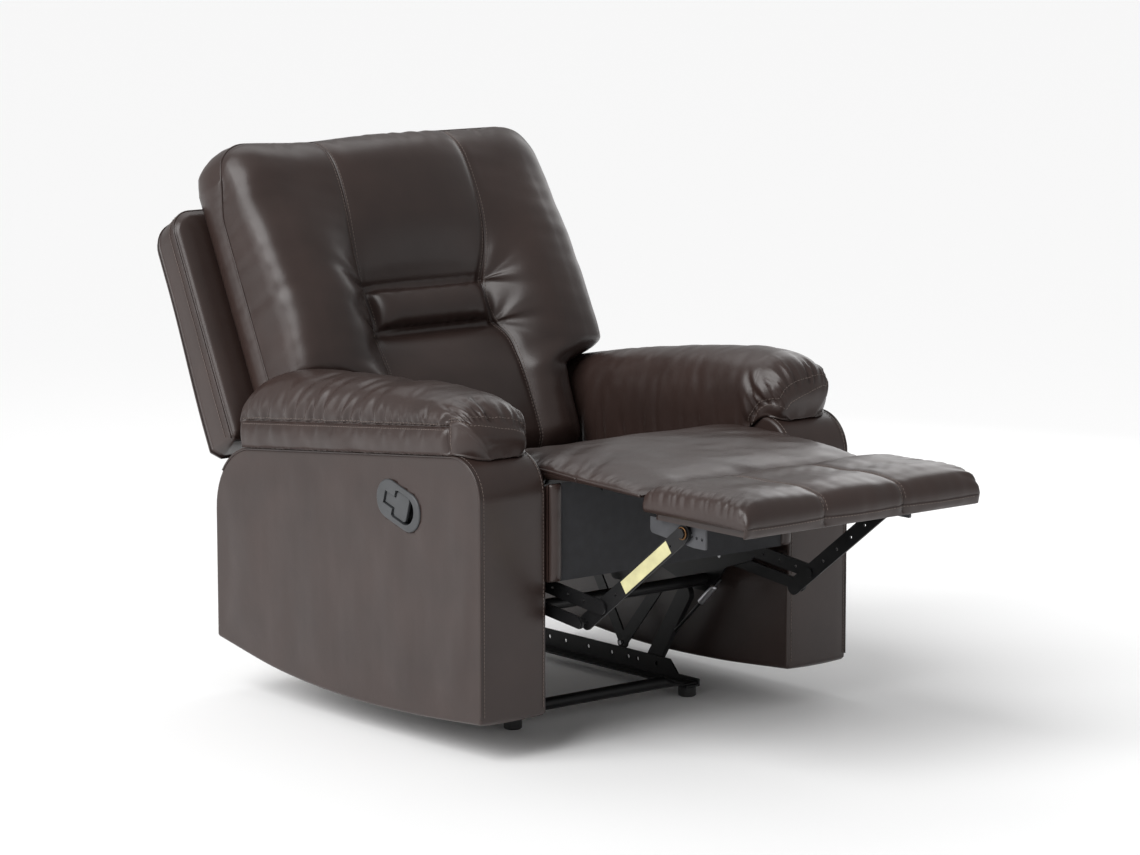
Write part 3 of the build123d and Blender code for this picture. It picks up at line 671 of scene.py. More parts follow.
# ---------------- seat-back cushion
BACK_TOP = 0.704
BACK_LOW = 0.012
BACK_WIDE = 0.377
BACK_NARROW = 0.262
BACK_CORNER = 0.072
TUFTS = (0.293, 0.381)
ROLL_MIDDLE = 0.337
SEAM_MEAN = 0.156
SEAM_SHARE = 0.45
SEAM_ACROSS = ((0.03, 0.166), (0.21, 0.158), (0.26, 0.155), (0.295, 0.144), (0.378, 0.144), (0.45, 0.157),
               (0.60, 0.158), (0.72, 0.156))
SEAM_DEPTH = ((0.03, 0.150), (0.12, 0.157), (0.21, 0.156), (0.255, 0.146), (0.293, 0.128), (0.337, 0.124),
              (0.381, 0.128), (0.43, 0.150), (0.50, 0.170), (0.58, 0.177), (0.65, 0.171), (0.72, 0.158))
WING_DEPTH = ((0.03, 0.165), (0.15, 0.185), (0.25, 0.203), (0.33, 0.207), (0.45, 0.196), (0.57, 0.178),
              (0.65, 0.166), (0.72, 0.152))


def back_width(v):
    return BACK_NARROW + (BACK_WIDE - BACK_NARROW) * smooth((v - 0.176) / 0.052)


def back_top(x):
    """The cushion's top edge, which dips a little on its right."""
    over = np.maximum(np.abs(x) - (BACK_WIDE - BACK_CORNER), 0.0)
    corner = np.sqrt(np.maximum(BACK_CORNER ** 2 - over ** 2, 0.0))
    return BACK_TOP - 0.007 * bell(x + 0.17, 0.10) - BACK_CORNER + corner


def back_layout(across, along):
    """Across and up the seat-back for a grid whose columns follow the upright seams."""
    a, b = np.meshgrid(across, along)
    reach = np.interp(np.abs(a), (0.0, SEAM_SHARE, 1.0), (0.0, SEAM_MEAN, BACK_WIDE))
    v = BACK_LOW + b * (back_top(np.sign(a) * reach) - BACK_LOW)
    seam, wide = curve(SEAM_ACROSS, v), back_width(v)
    inner = np.minimum(np.abs(a) / SEAM_SHARE, 1.0) * seam
    outer = between(np.abs(a), SEAM_SHARE, 1.0) * (wide - seam)
    return np.sign(a) * (inner + outer), v, seam, wide


def back_depth(x, v, seam, wide):
    """How far the padding stands forward: wings, roll, valleys and rounded edges."""
    size = np.abs(x)
    low = curve(SEAM_DEPTH, v)
    roll = 0.036 * np.sqrt(np.maximum(0.0, 1.0 - ((v - ROLL_MIDDLE) / 0.0445) ** 2))
    belly = 0.012 * smooth((v - 0.40) / 0.12) + 0.010 * smooth((0.28 - v) / 0.10)
    inside = clamped(size / seam)
    panel = low + belly * (1.0 - inside ** 3) + roll * (1.0 - inside ** 9)
    crown = curve(WING_DEPTH, v)
    share = between(size, seam, wide)
    rise = np.sin(np.minimum(share / 0.50, 1.0) * math.pi / 2) ** 0.90
    wing = low + (crown - low) * rise
    padding = np.where(size < seam, panel, wing)
    edge = 0.075 + 0.030 * smooth((v - 0.55) / 0.10)
    side = dome((share - 0.30) / 0.70, 4.4 - 0.9 * smooth((v - 0.40) / 0.2))
    top = shoulder(back_top(x) - v, 0.085, 2.2)
    foot = shoulder(v - BACK_LOW, 0.05, 2.2)
    return edge + (padding - edge) * side * top * foot


def pinch_folds(x, v):
    """Creases that fan out into each wing from the ends of the tufted roll."""
    total = np.zeros(x.shape)
    for hand in (-1, 1):
        for index, height in enumerate(TUFTS):
            out, up = hand * x - 0.146, v - height
            distance, angle = np.hypot(out, up) + 1e-6, np.arctan2(up, out)
            rng = np.random.default_rng(11 + 5 * index + (hand > 0))
            for _ in range(5):
                aim, wide = rng.uniform(-1.1, 1.1), rng.uniform(0.16, 0.3)
                length, size = rng.uniform(0.05, 0.11), rng.uniform(0.0016, 0.0036)
                fan = bell(angle - aim - 1.2 * distance, wide) - 0.6 * bell(angle - aim - 2 * wide, wide)
                total -= size * fan * bell(distance, length) * smooth(distance / 0.012) * (out > 0)
    return total


def make_back_cushion():
    across, along = np.linspace(-1, 1, 101), np.linspace(0, 1, 91)
    x, v, seam, wide = back_layout(across, along)
    depth = back_depth(x, v, seam, wide)
    share = between(np.abs(x), seam, wide)
    bulge = 0.012 * np.sin(math.pi * between(share, 0.72, 1.0)) * smooth((0.66 - v) / 0.1)
    x = x + np.sign(x) * bulge
    band = [(share, 0.006 * math.sin(math.pi * share)) for share in (0.12, 0.35, 0.62, 0.88)]
    cushion = banded(across, along, back_places(x, v, depth), back_places(x, v, 0.020), band)
    size = np.abs(x)
    tuft = sum(bell(v - height, 0.009) for height in TUFTS) * (size < seam)
    held = clamped(0.93 * bell(size - seam, 0.009) + tuft)
    held[0] = held[-1] = held[:, 0] = held[:, -1] = 0.9
    cushion = inflated(cushion, clamped(held + 0.25), pressure=3.5, cap=0.014, grow=0.004, calm=14)
    tuft_rows = [(height - BACK_LOW) / (BACK_TOP - BACK_LOW) for height in TUFTS]
    across = spaced(-1.0, 1.0, 0.011, (-SEAM_SHARE, SEAM_SHARE, -0.995, 0.995))
    along = spaced(0.0, 1.0, 0.0055, tuft_rows)
    x, v, seam, wide = back_layout(across, along)
    size = np.abs(x)
    cushion = cushion.refined(across, along)
    central = smooth((seam + 0.002 - size) / 0.004)
    lines = bell(size - seam, 0.0016) + sum(bell(v - height, 0.0022) for height in TUFTS) * central
    pull = bell(size - seam, 0.010) + 2.2 * sum(bell(v - height, 0.010) for height in TUFTS) * central
    shape = -0.0017 * lines - 0.0022 * pull + pinch_folds(x, v)
    shape += 0.0011 * ripple(x, v, 5, 0.16) * smooth((size - seam) / 0.03)
    from_roll = np.abs(v - ROLL_MIDDLE)
    roll_folds = gathers(x, from_roll - 0.044, scattered(-0.14, 0.14, 0.035, 8), 9, 0.0011, 0.030, 0.006)
    shape += roll_folds * central * (from_roll < 0.05)
    shape += gathers(x, v - BACK_TOP, scattered(-0.3, 0.3, 0.05, 21), 22, 0.002, 0.05, 0.008)
    for hand in (-1, 1):
        places_up = scattered(0.24, 0.62, 0.06, 31 + hand)
        shape += gathers(v, wide - hand * x, places_up, 33 + hand, 0.0008, 0.05, 0.010)
    cushion = cushion.raised(shape, edge=False)
    settle(cushion.build("back_padding"), "backrest", "back_cushion", fill=0.75)
    rows = np.linspace(0.0, 0.985, 260)
    lines = [cushion.line(hand * SEAM_SHARE + offset, rows) for hand in (-1, 1) for offset in (-0.011, 0.011)]
    sew("back_padding_stitches", lines, "backrest")
    edge = rim(np.arange(len(along) * len(across)).reshape(len(along), -1))
    welt("back_padding_welt", cushion.top.reshape(-1, 3)[edge], 0.0021, "backrest", closed=True)


# ---------------- arms
ARM_FALL = math.tan(math.radians(5.7))
ARM_LINE = 0.551
ARM_LENGTH = LEFT_ARM[1][1] - LEFT_ARM[0][1]
CORNER_FRONT, CORNER_REAR = 0.075, 0.130
ARM_EDGE = 0.006
SEWN_INSIDE = 0.0085
SQUARE = math.hypot(1.0, ARM_FALL)
FRONT_HUB = ARM_LINE - ARM_FALL * CORNER_FRONT - CORNER_FRONT * SQUARE
REAR_HUB = ARM_LINE - ARM_FALL * (ARM_LENGTH - CORNER_REAR) - CORNER_REAR * SQUARE
SKIRT = ((0.0, 0.072), (0.21, 0.0575), (0.42, 0.055), (0.62, 0.0695), (0.815, 0.103))


def arm_top(y, inset=0.0):
    """Height of the arm's outline at a place counted from its front."""
    line = ARM_LINE - ARM_FALL * y - inset * SQUARE
    front, rear = CORNER_FRONT - inset, CORNER_REAR - inset
    ahead, behind = CORNER_FRONT - y, y - (ARM_LENGTH - CORNER_REAR)
    near = FRONT_HUB + np.sqrt(np.maximum(front ** 2 - ahead ** 2, 0.0))
    far = REAR_HUB + np.sqrt(np.maximum(rear ** 2 - behind ** 2, 0.0))
    top = np.where(ahead > -front * ARM_FALL / SQUARE, near, line)
    return np.where(behind > rear * ARM_FALL / SQUARE, far, top)


def arm_columns(inset):
    turn = quarter(14)
    ahead = CORNER_FRONT - (CORNER_FRONT - inset) * np.cos(turn)
    behind = ARM_LENGTH - CORNER_REAR + (CORNER_REAR - inset) * np.sin(turn)
    return np.concatenate([ahead, np.linspace(ahead[-1], behind[0], 62)[1:-1], behind])


def make_arm(hand, name):
    """A leather-covered arm: two side panels and a band between them."""
    y = arm_columns(ARM_EDGE)
    t = np.concatenate([[0.0, 0.008, 0.02], np.linspace(0.04, 0.96, 40), [0.98, 0.992, 1.0]])
    low, high = curve(SKIRT, y) + ARM_EDGE, arm_top(y, ARM_EDGE)
    z = low + t[:, None] * (high - low)
    y_all = np.broadcast_to(y, z.shape)
    from_edge = np.minimum.reduce([y_all, ARM_LENGTH - y_all, z - low, high - z])
    puff = 0.0018 * smooth(from_edge / 0.08)
    drape = 0.0011 * ripple(y_all * 1.6, z * 0.45, 60 + hand, 0.20) * smooth(from_edge / 0.05)
    outer = places(hand * (ARM_OUTER - 0.0015 + puff + drape), y_all, z)
    inner = places(hand * (ARM_INNER + 0.0004), y_all, z)
    cover = banded(y, t, outer, inner, rounded(ARM_OUTER - ARM_INNER, ARM_EDGE, swell=0.002))
    return cover.build(name)


def arm_edge_line(start=0.012, end=0.79):
    """The outline from the arm's front foot, up and over to its rear, as y, z and outward."""
    front = np.linspace(curve(SKIRT, np.array(0.0)) + start, FRONT_HUB, 40)
    turn = np.linspace(0.0, math.pi / 2 - math.atan(ARM_FALL), 30)[1:]
    corner_y = CORNER_FRONT * (1.0 - np.cos(turn))
    corner_z = FRONT_HUB + CORNER_FRONT * np.sin(turn)
    back_y = np.linspace(corner_y[-1], end, 90)[1:]
    y = np.concatenate([np.zeros(len(front)), corner_y, back_y])
    z = np.concatenate([front, corner_z, arm_top(back_y)])
    dy, dz = np.gradient(y), np.gradient(z)
    length = np.hypot(dy, dz)
    return y, z, -dz / length, dy / length


def dress_arm(hand, side):
    """One arm's leather, with a cord and stitches along its upper edges."""
    arm = make_arm(hand, "arm_leather_" + side)
    if hand < 0:
        cut_pocket(arm)
    settle(arm, "base", "arm_cover_" + side)
    y, z, out_y, out_z = arm_edge_line()
    outward = np.stack([np.zeros(len(y)), out_y, out_z], axis=-1)
    welt("arm_welt_" + side, places(hand * (ARM_OUTER - 0.0022), y, z) - 0.0016 * outward, 0.0023, "base")
    seams = (ARM_OUTER - SEWN_INSIDE, ARM_INNER + SEWN_INSIDE)
    lines = [(places(hand * x, y, z) + 0.0006 * outward, outward) for x in seams]
    sew("arm_stitches_" + side, lines, "base")


def stadium(length, height, steps=20):
    """A round-ended slot outline, centred."""
    radius, half = height / 2, (length - height) / 2
    turn = np.linspace(-math.pi / 2, math.pi / 2, steps)
    ends = [(half + radius * math.cos(t), radius * math.sin(t)) for t in turn]
    return ends + [(-a, -b) for a, b in ends]


LEVER_TILT = 17.0
POCKET_SIZE = (0.120, 0.062)


def cut_pocket(arm):
    """Opens the arm's outer panel for the release lever's cup."""
    low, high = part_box("lever_cup")
    centre = (low + high) / 2
    turn = Matrix.Rotation(math.radians(LEVER_TILT), 2)
    outline = [turn @ Vector(point) for point in stadium(*POCKET_SIZE)]
    points = [(x, centre.y + a, centre.z + b) for x in (low.x - 0.02, high.x + 0.002) for a, b in outline]
    count = len(outline)
    faces = [list(range(count)), list(range(count, 2 * count))]
    faces += [[i, (i + 1) % count, count + (i + 1) % count, count + i] for i in range(count)]
    cutter = face_outward(new_object("pocket_cutter", points, faces, LEATHER))
    cut = arm.modifiers.new("Pocket", "BOOLEAN")
    cut.operation = "DIFFERENCE"
    cut.solver = "EXACT"
    cut.object = cutter
    bpy.context.view_layer.update()
    opened = bpy.data.meshes.new_from_object(arm.evaluated_get(bpy.context.evaluated_depsgraph_get()))
    arm.modifiers.clear()
    arm.data = opened
    bpy.data.objects.remove(cutter)


# ---------------- arm pads
PAD_REAR, PAD_NOSE = -0.635, 0.046
PAD_BEND = 0.09
PAD_CROWN = {
    -1: ((-0.64, 0.124), (-0.61, 0.130), (-0.555, 0.135), (-0.406, 0.134), (-0.263, 0.1235), (-0.123, 0.114),
         (-0.06, 0.106), (-0.006, 0.094), (0.03, 0.081), (0.05, 0.072)),
    1: ((-0.64, 0.104), (-0.57, 0.106), (-0.42, 0.115), (-0.23, 0.122), (-0.11, 0.120), (-0.06, 0.116),
        (-0.006, 0.109), (0.03, 0.100), (0.05, 0.094)),
}
PAD_FAR, PAD_RIDGE, PAD_NEAR = 0.4435, 0.357, 0.279
PAD_SEAM, PAD_TOP, PAD_INNER = 0.16, 0.60, 0.88
PAD_LIFT = 0.003
PAD_BAND = 0.049
PAD_HANG = 0.046
PAD_FRONT_SEAM = -0.002
PAD_GIRTH = 0.30
CAP_LEVELS = ((0.30, 0.607), (0.40, 0.607), (0.50, 0.605), (0.62, 0.599), (0.74, 0.587), (0.84, 0.571))
CAP_INNER = ((0.90, 0.020), (0.95, -0.002), (1.0, -0.026))


def pad_path(s):
    """The pad's underside: along the arm's top, then over its front in a wider curve; y, z and the way up."""
    lean = math.atan(ARM_FALL)
    turn = np.maximum(s, 0.0) / PAD_BEND - lean
    behind = np.minimum(s, 0.0)
    hub_y = CORNER_FRONT - (PAD_BEND - CORNER_FRONT) * math.sin(lean)
    hub_z = FRONT_HUB - (PAD_BEND - CORNER_FRONT) * math.cos(lean)
    y = hub_y - PAD_BEND * np.sin(turn) - behind * math.cos(lean)
    z = hub_z + PAD_BEND * np.cos(turn) + behind * math.sin(lean)
    return y, z, -np.sin(turn), np.cos(turn)


def pad_crown(s, hand):
    crown = curve(PAD_CROWN[hand], s)
    nose = shoulder(PAD_NOSE - s, 0.058, 2.3)
    rear = shoulder(s - PAD_REAR, 0.085, 2.6)
    return crown * (0.04 + 0.96 * nose) * (0.56 + 0.44 * rear)


def pad_section(a, s, hand):
    """Across the arm and up from it, for places round the pad's arch from its outer lower edge."""
    crown = pad_crown(s, hand)
    band = np.minimum(PAD_BAND, 0.62 * crown)
    squeeze = 0.054 * (1.0 - shoulder(PAD_NOSE - s, 0.085, 2.2))
    outer, inner = PAD_FAR - squeeze, PAD_NEAR + 0.8 * squeeze
    hang = (PAD_HANG + 0.10 * np.clip(-0.15 - s, 0.0, 0.45)) * smooth((0.035 - s) / 0.11)
    up = clamped(a / PAD_SEAM)
    arch = between(a, PAD_SEAM, PAD_TOP) * math.pi / 2
    over = between(a, PAD_TOP, PAD_INNER) * math.pi / 2
    down = between(a, PAD_INNER, 1.0)
    full = smooth(crown / 0.09)
    x_band = outer + 0.003 * np.sin(up * math.pi) * full
    x_arch = PAD_RIDGE + (outer - PAD_RIDGE) * np.cos(arch) ** 0.8 + 0.007 * np.sin(2 * arch) * full
    x_over = PAD_RIDGE + (inner - PAD_RIDGE) * np.sin(over) ** 0.85
    x_down = inner + 0.004 * down ** 2
    h_band, h_arch = band * up, band + (crown - band) * np.sin(arch) ** 0.9
    h_over = crown * (0.34 + 0.66 * np.cos(over) ** 0.85)
    h_down = 0.34 * crown * (1.0 - down) - hang * down ** 1.5
    pick = [a < PAD_SEAM, a < PAD_TOP, a < PAD_INNER]
    x = np.select(pick, [x_band, x_arch, x_over], x_down)
    height = np.select(pick, [h_band, h_arch, h_over], h_down)
    return x, height + PAD_LIFT


def cap_seam(hand):
    """The seam round the pad's nose: nearly level over the front, then down the inner side."""
    s = np.linspace(PAD_FRONT_SEAM, PAD_NOSE - 0.001, 300)
    points = [(0.215, PAD_FRONT_SEAM)]
    _, z, _, up_z = pad_path(s)
    for a, level in CAP_LEVELS:
        height = pad_section(np.full(s.shape, a), s, hand)[1]
        points.append((a, np.interp(-level, -(z + up_z * height), s)))
    return np.array([*points, *CAP_INNER])


def seam_field(a, s, points):
    """How far along a seam drawn on the pad each place is, and how far from it, above positive."""
    line = points * (PAD_GIRTH, 1.0)
    fine = resample(line, np.arange(len(line)), np.linspace(0, len(line) - 1, 120))
    length = np.concatenate([[0.0], np.cumsum(np.linalg.norm(np.diff(fine, axis=0), axis=1))])
    near = s > -0.16
    spot = np.stack([a[near] * PAD_GIRTH, s[near]], axis=-1)
    gap = np.linalg.norm(spot[:, None] - fine[None], axis=-1)
    closest = gap.argmin(axis=1)
    ahead = np.gradient(fine, axis=0)[closest]
    across = spot - fine[closest]
    side = np.sign(ahead[:, 1] * across[:, 0] - ahead[:, 0] * across[:, 1])
    along, away = np.full(a.shape, -1.0), np.full(a.shape, -1.0)
    along[near], away[near] = length[closest], gap.min(axis=1) * np.where(side == 0, 1, side)
    return along, away


def make_pad(hand, side):
    """One arm's pillow: a band, a gathered top, and a cap round its nose."""
    across, along = np.linspace(0.0, 1.0, 57), np.linspace(PAD_REAR, PAD_NOSE, 124)
    a, s = np.meshgrid(across, along)
    x, height = pad_section(a, s, hand)
    y, z, up_y, up_z = pad_path(s)
    top = places(hand * x, y + up_y * height, z + up_z * height)
    x_first, x_last = x[:, :1], x[:, -1:]
    floor = places(hand * (x_first + (x_last - x_first) * a), y + up_y * 0.001, z + up_z * 0.001)
    cushion = banded(across, along, top, floor, [(0.25, 0.002), (0.5, 0.003), (0.75, 0.002)])
    held = clamped(0.95 * bell(a - PAD_SEAM, 0.02) + 0.12)
    held[:, :2] = held[:, -2:] = held[0] = held[-1] = 1.0
    cushion = inflated(cushion, held, pressure=2.5, cap=0.010, grow=0.010, calm=7)
    across = spaced(0.0, 1.0, 0.014, (PAD_SEAM,))
    along = spaced(PAD_REAR, PAD_NOSE, 0.0035, (PAD_FRONT_SEAM,))
    a, s = np.meshgrid(across, along)
    cushion = cushion.refined(across, along)
    above = np.maximum(a - PAD_SEAM, 0.0) / (PAD_TOP - PAD_SEAM) * 0.13
    below = np.maximum(PAD_SEAM - a, 0.0) / PAD_SEAM * PAD_BAND
    inner = np.maximum(1.0 - a, 0.0) * 0.30
    seed = 70 if hand < 0 else 80
    seam = cap_seam(hand)
    along_cap, away_cap = seam_field(a, s, seam)

    def folds(along, away, start, end, step, extra, *sizes):
        return gathers(along, away, scattered(start, end, step, seed + extra), seed + extra + 1, *sizes)

    shape = folds(s, above, -0.64, -0.20, 0.034, 0, 0.0056, 0.080, 0.0068, 0.45)
    shape += folds(s, above, -0.20, -0.01, 0.017, 2, 0.0052, 0.036, 0.0036, 0.05)
    shape *= smooth((a - PAD_SEAM) / 0.006)
    pleats = folds(along_cap, away_cap, 0.02, 0.30, 0.014, 4, 0.0062, 0.036, 0.0032)
    shape += np.where((away_cap > 0) & (along_cap >= 0), pleats * smooth(away_cap / 0.003), 0.0)
    shape -= 0.0024 * bell(away_cap, 0.0016) + 0.0030 * bell(away_cap, 0.007)
    band_folds = folds(s, below, -0.62, 0.05, 0.05, 7, 0.0022, 0.04, 0.007, -0.3)
    shape += band_folds * (a < PAD_SEAM) * smooth(below / 0.01)
    shape += folds(s, inner, -0.60, 0.05, 0.045, 9, 0.003, 0.06, 0.007, 0.3)
    shape += 0.0016 * ripple(s, a * 0.3, seed + 11, 0.14)
    from_seam, from_front = (a - PAD_SEAM) * PAD_GIRTH, s - PAD_FRONT_SEAM
    shape -= (0.0024 * bell(from_seam, 0.0016) + 0.0028 * bell(from_seam, 0.008)) * (from_front < 0)
    upright = smooth((0.30 - a) / 0.03)
    shape -= (0.0018 * bell(from_front, 0.0016) + 0.003 * bell(from_front, 0.008)) * upright
    edges = smooth(np.minimum(s - PAD_REAR, PAD_NOSE - s) / 0.012) * smooth(a / 0.02) * smooth((1 - a) / 0.02)
    cushion = cushion.raised(shape * edges, edge=False)
    settle(cushion.build("arm_padding_" + side), "base", "arm_pad_" + side, fill=0.75)
    rows = np.linspace(PAD_REAR + 0.004, PAD_FRONT_SEAM - 0.004, 240)
    lines = [cushion.line(PAD_SEAM - 0.018, rows), cushion.line(PAD_SEAM + 0.014, rows)]
    cap = resample(seam, np.arange(len(seam)), np.linspace(0, len(seam) - 1, 160))
    ahead = np.gradient(cap * (PAD_GIRTH, 1.0), axis=0)
    beside = np.stack([-ahead[:, 1], ahead[:, 0]], axis=-1) / np.linalg.norm(ahead, axis=1, keepdims=True)
    beside = beside * 0.0045 / (PAD_GIRTH, 1.0)
    lines += [cushion.line(*(cap + beside).T), cushion.line(*(cap - beside).T)]
    lines.append(cushion.line(np.linspace(0.02, 0.30, 60), PAD_FRONT_SEAM + 0.005))
    sew("arm_padding_stitches_" + side, lines, "base")


# ---------------- seat and leg pads
SEAT_HALF = 0.276
SEAT_REAR, CHAISE_NOSE = 0.590, -0.2375
SEAT_SPLIT = -0.065
CROWN_LINE = ((-0.24, 0.4985), (-0.232, 0.504), (-0.215, 0.5115), (-0.19, 0.518), (-0.15, 0.525),
              (-0.10, 0.5295), (-0.05, 0.533), (0.02, 0.537), (0.10, 0.533), (0.16, 0.522), (0.25, 0.500),
              (0.40, 0.467), (0.59, 0.424))
WELT_LINE = ((-0.24, 0.4965), (-0.19, 0.499), (-0.11, 0.501), (-0.04, 0.504), (0.04, 0.507), (0.12, 0.502),
             (0.25, 0.482), (0.40, 0.452), (0.59, 0.412))
UNDER_LINE = ((-0.24, 0.494), (0.0, 0.494), (0.05, 0.488), (0.25, 0.455), (0.59, 0.372))


def seat_height(x, y):
    crown, welt = curve(CROWN_LINE, y), curve(WELT_LINE, y)
    share = clamped(np.abs(x) / SEAT_HALF)
    across = dome(share, np.where(x > 0, 9.0, 5.0)) * (1.0 - 0.06 * share ** 2)
    return welt + (crown - welt) * across


def seat_folds(x, y):
    """Long creases that run in from the seat's sides, and small gathers along its welts."""
    total = np.zeros(x.shape)
    for hand in (-1, 1):
        away = SEAT_HALF - hand * x
        seed = 120 + hand * 3
        total += gathers(y, away, scattered(-0.23, 0.20, 0.016, seed), seed + 1, 0.0020, 0.022, 0.0028)
        creases = scattered(-0.10, 0.16, 0.055, seed + 10)
        total += gathers(y, away, creases, seed + 11, 0.0042, 0.16, 0.010, 0.35)
    return total + 0.0016 * ripple(x, y, 131, 0.20)


def make_seat():
    """One seat surface in two pieces that meet under a fold, so that the front one can swing down."""
    step = 0.0045
    across = spaced(-SEAT_HALF, SEAT_HALF, step, (-SEAT_HALF + 0.002, SEAT_HALF - 0.002))
    parts = (("seat_padding", SEAT_SPLIT, SEAT_REAR, ("seat_cushion", "chaise_pad_rear")),
             ("leg_padding", CHAISE_NOSE, SEAT_SPLIT, ("chaise_pad_front",)))
    for name, front, rear, replaced in parts:
        along = spaced(front, rear, step)
        x, y = np.meshgrid(across, along)
        rise = seat_folds(x, y) * smooth((SEAT_HALF - np.abs(x)) / 0.01)
        rise *= smooth((y - CHAISE_NOSE) / 0.01)
        top = places(x, y, seat_height(x, y) + rise)
        cushion = Cushion(across, along, top, places(x, y, curve(UNDER_LINE, y)), [])
        pad = cushion.build(name)
        crease_ends(pad, cushion)
        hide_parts(*replaced)
        pieces = [pad]
        for hand in (-1, 1):
            place = cushion.line(hand * (SEAT_HALF - 0.0001), along)[0]
            bead = tube(f"{name}_welt_{sideways(hand)}", place, 0.0024, LEATHER)
            pieces.append(bead)
        for piece in pieces:
            if name == "seat_padding":
                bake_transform(piece, "base", "chaise_rear", start=(0.0, ARM_FRONT + 0.03, 0.5),
                         end=(0.0, ARM_FRONT - 0.035, 0.5))
            else:
                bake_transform(piece, "chaise_rear", "chaise_front", start=(0.0, ARM_FRONT - 0.100, 0.5),
                         end=(0.0, ARM_FRONT - 0.147, 0.5))


def crease_ends(obj, cushion):
    """Keeps a pad's two end walls sharp, so that the tops of neighbouring pads shade as one."""
    columns, rows = len(cushion.across), len(cushion.along)
    ends = set(range(columns)) | set(range((rows - 1) * columns, rows * columns))
    mesh = obj.data
    sharp = mesh.attributes.new("sharp_edge", "BOOLEAN", "EDGE")
    for edge in mesh.edges:
        sharp.data[edge.index].value = edge.vertices[0] in ends and edge.vertices[1] in ends


REST_HALF = 0.276
REST_REAR, REST_FRONT = -0.243, -0.508
REST_TOP, REST_LOW = 0.511, 0.4715
REST_LIP = 0.459
REST_SEAMS = (-0.092, 0.092)


def rest_section(b):
    """The leg rest's profile from its rear edge over the top and down the front: y and z."""
    line = ((0.0, REST_REAR - 0.001, REST_TOP - 0.012), (0.03, REST_REAR - 0.004, REST_TOP - 0.002),
            (0.08, REST_REAR - 0.018, REST_TOP + 0.003), (0.40, REST_REAR - 0.120, REST_TOP + 0.009),
            (0.70, REST_FRONT + 0.045, REST_TOP + 0.009), (0.79, REST_FRONT + 0.016, REST_TOP + 0.002),
            (0.86, REST_FRONT + 0.003, REST_TOP - 0.012), (0.93, REST_FRONT - 0.001, REST_TOP - 0.030),
            (1.0, REST_FRONT + 0.003, REST_LIP))
    share, y, z = (np.array(column) for column in zip(*line))
    return [resample(values, share, b.ravel()).reshape(b.shape) for values in (y, z)]


def make_leg_rest():
    """The leg rest's pad, sewn into three panels."""
    across = spaced(-REST_HALF, REST_HALF, 0.0042, REST_SEAMS)
    along = spaced(0.0, 1.0, 0.011, (0.945,))
    x, b = np.meshgrid(across, along)
    y, z = rest_section(b)
    side = dome((np.abs(x) / REST_HALF) ** np.where(x > 0, 16.0, 9.0), 2.0)
    hem = REST_LOW + 0.004
    z = np.where(z > hem, hem + (z - hem) * (0.34 + 0.66 * side), z)
    top = places(x, y, z)
    turns = (0.0, 0.86, 1.0)
    under_y = np.interp(b, turns, (REST_REAR - 0.003, REST_FRONT + 0.006, REST_FRONT + 0.005))
    under_z = np.interp(b, turns, (REST_LOW - 0.001, REST_LOW - 0.001, REST_LIP + 0.001))
    under = places(x * 0.995, under_y, under_z)
    cushion = banded(across, along, top, under, [(0.5, 0.002)])
    nearest = np.minimum(np.abs(x - REST_SEAMS[0]), np.abs(x - REST_SEAMS[1]))
    side_gap = REST_HALF - np.abs(x)
    shape = 0.0035 * smooth(nearest / 0.07)
    shape -= 0.0020 * bell(nearest, 0.0016) + 0.0028 * bell(nearest, 0.009)
    shape += 0.0010 * ripple(x, y, 151, 0.12)
    for hand in (-1, 1):
        creases = scattered(REST_FRONT, REST_REAR, 0.02, 155 + hand)
        shape += gathers(y, REST_HALF - hand * x, creases, 158 + hand, 0.0026, 0.040, 0.004, 0.2)
    shape -= 0.0012 * bell(b - 0.945, 0.004)
    edges = smooth(b / 0.02) * smooth((1.0 - b) / 0.02) * smooth(side_gap / 0.006)
    cushion = cushion.raised(shape * edges, edge=False)
    settle(cushion.build("leg_rest_padding"), "footrest", "footrest_pad", fill=0.7)
    rows = np.linspace(0.02, 0.94, 130)
    lines = [cushion.line(seam + offset, rows) for seam in REST_SEAMS for offset in (-0.0045, 0.0045)]
    lines.append(cushion.line(np.linspace(-REST_HALF + 0.01, REST_HALF - 0.01, 200), 0.955))
    sew("leg_rest_stitches", lines, "footrest")


def make_front_rolls():
    """Soft leather rolls that close the dust cloth's two ends."""
    for side in ("left", "right"):
        low, high = corners("front_trim_" + side)
        across, along = np.linspace(0.0, 1.0, 17), np.linspace(0.0, 1.0, 41)
        a, b = np.meshgrid(across, along)
        bulge = 0.0105 * dome(np.abs(2 * a - 1), 2.0) * (0.6 + 0.4 * dome(np.abs(2 * b - 1), 6.0))
        bulge += 0.0012 * ripple(a * 0.03, b * 0.18, 190, 0.09) * smooth((0.5 - np.abs(a - 0.5)) / 0.2)
        x = low[0] + a * (high[0] - low[0])
        z = low[2] + 0.001 + b * (high[2] - low[2] - 0.002)
        front = np.stack([x, high[1] - 0.001 - bulge, z], axis=-1)
        rear = np.stack([x, np.full(x.shape, high[1] + 0.002), z], axis=-1)
        roll = Cushion(across, along, front, rear, [])
        settle(roll.build("front_roll_" + side), "base", "front_trim_" + side)


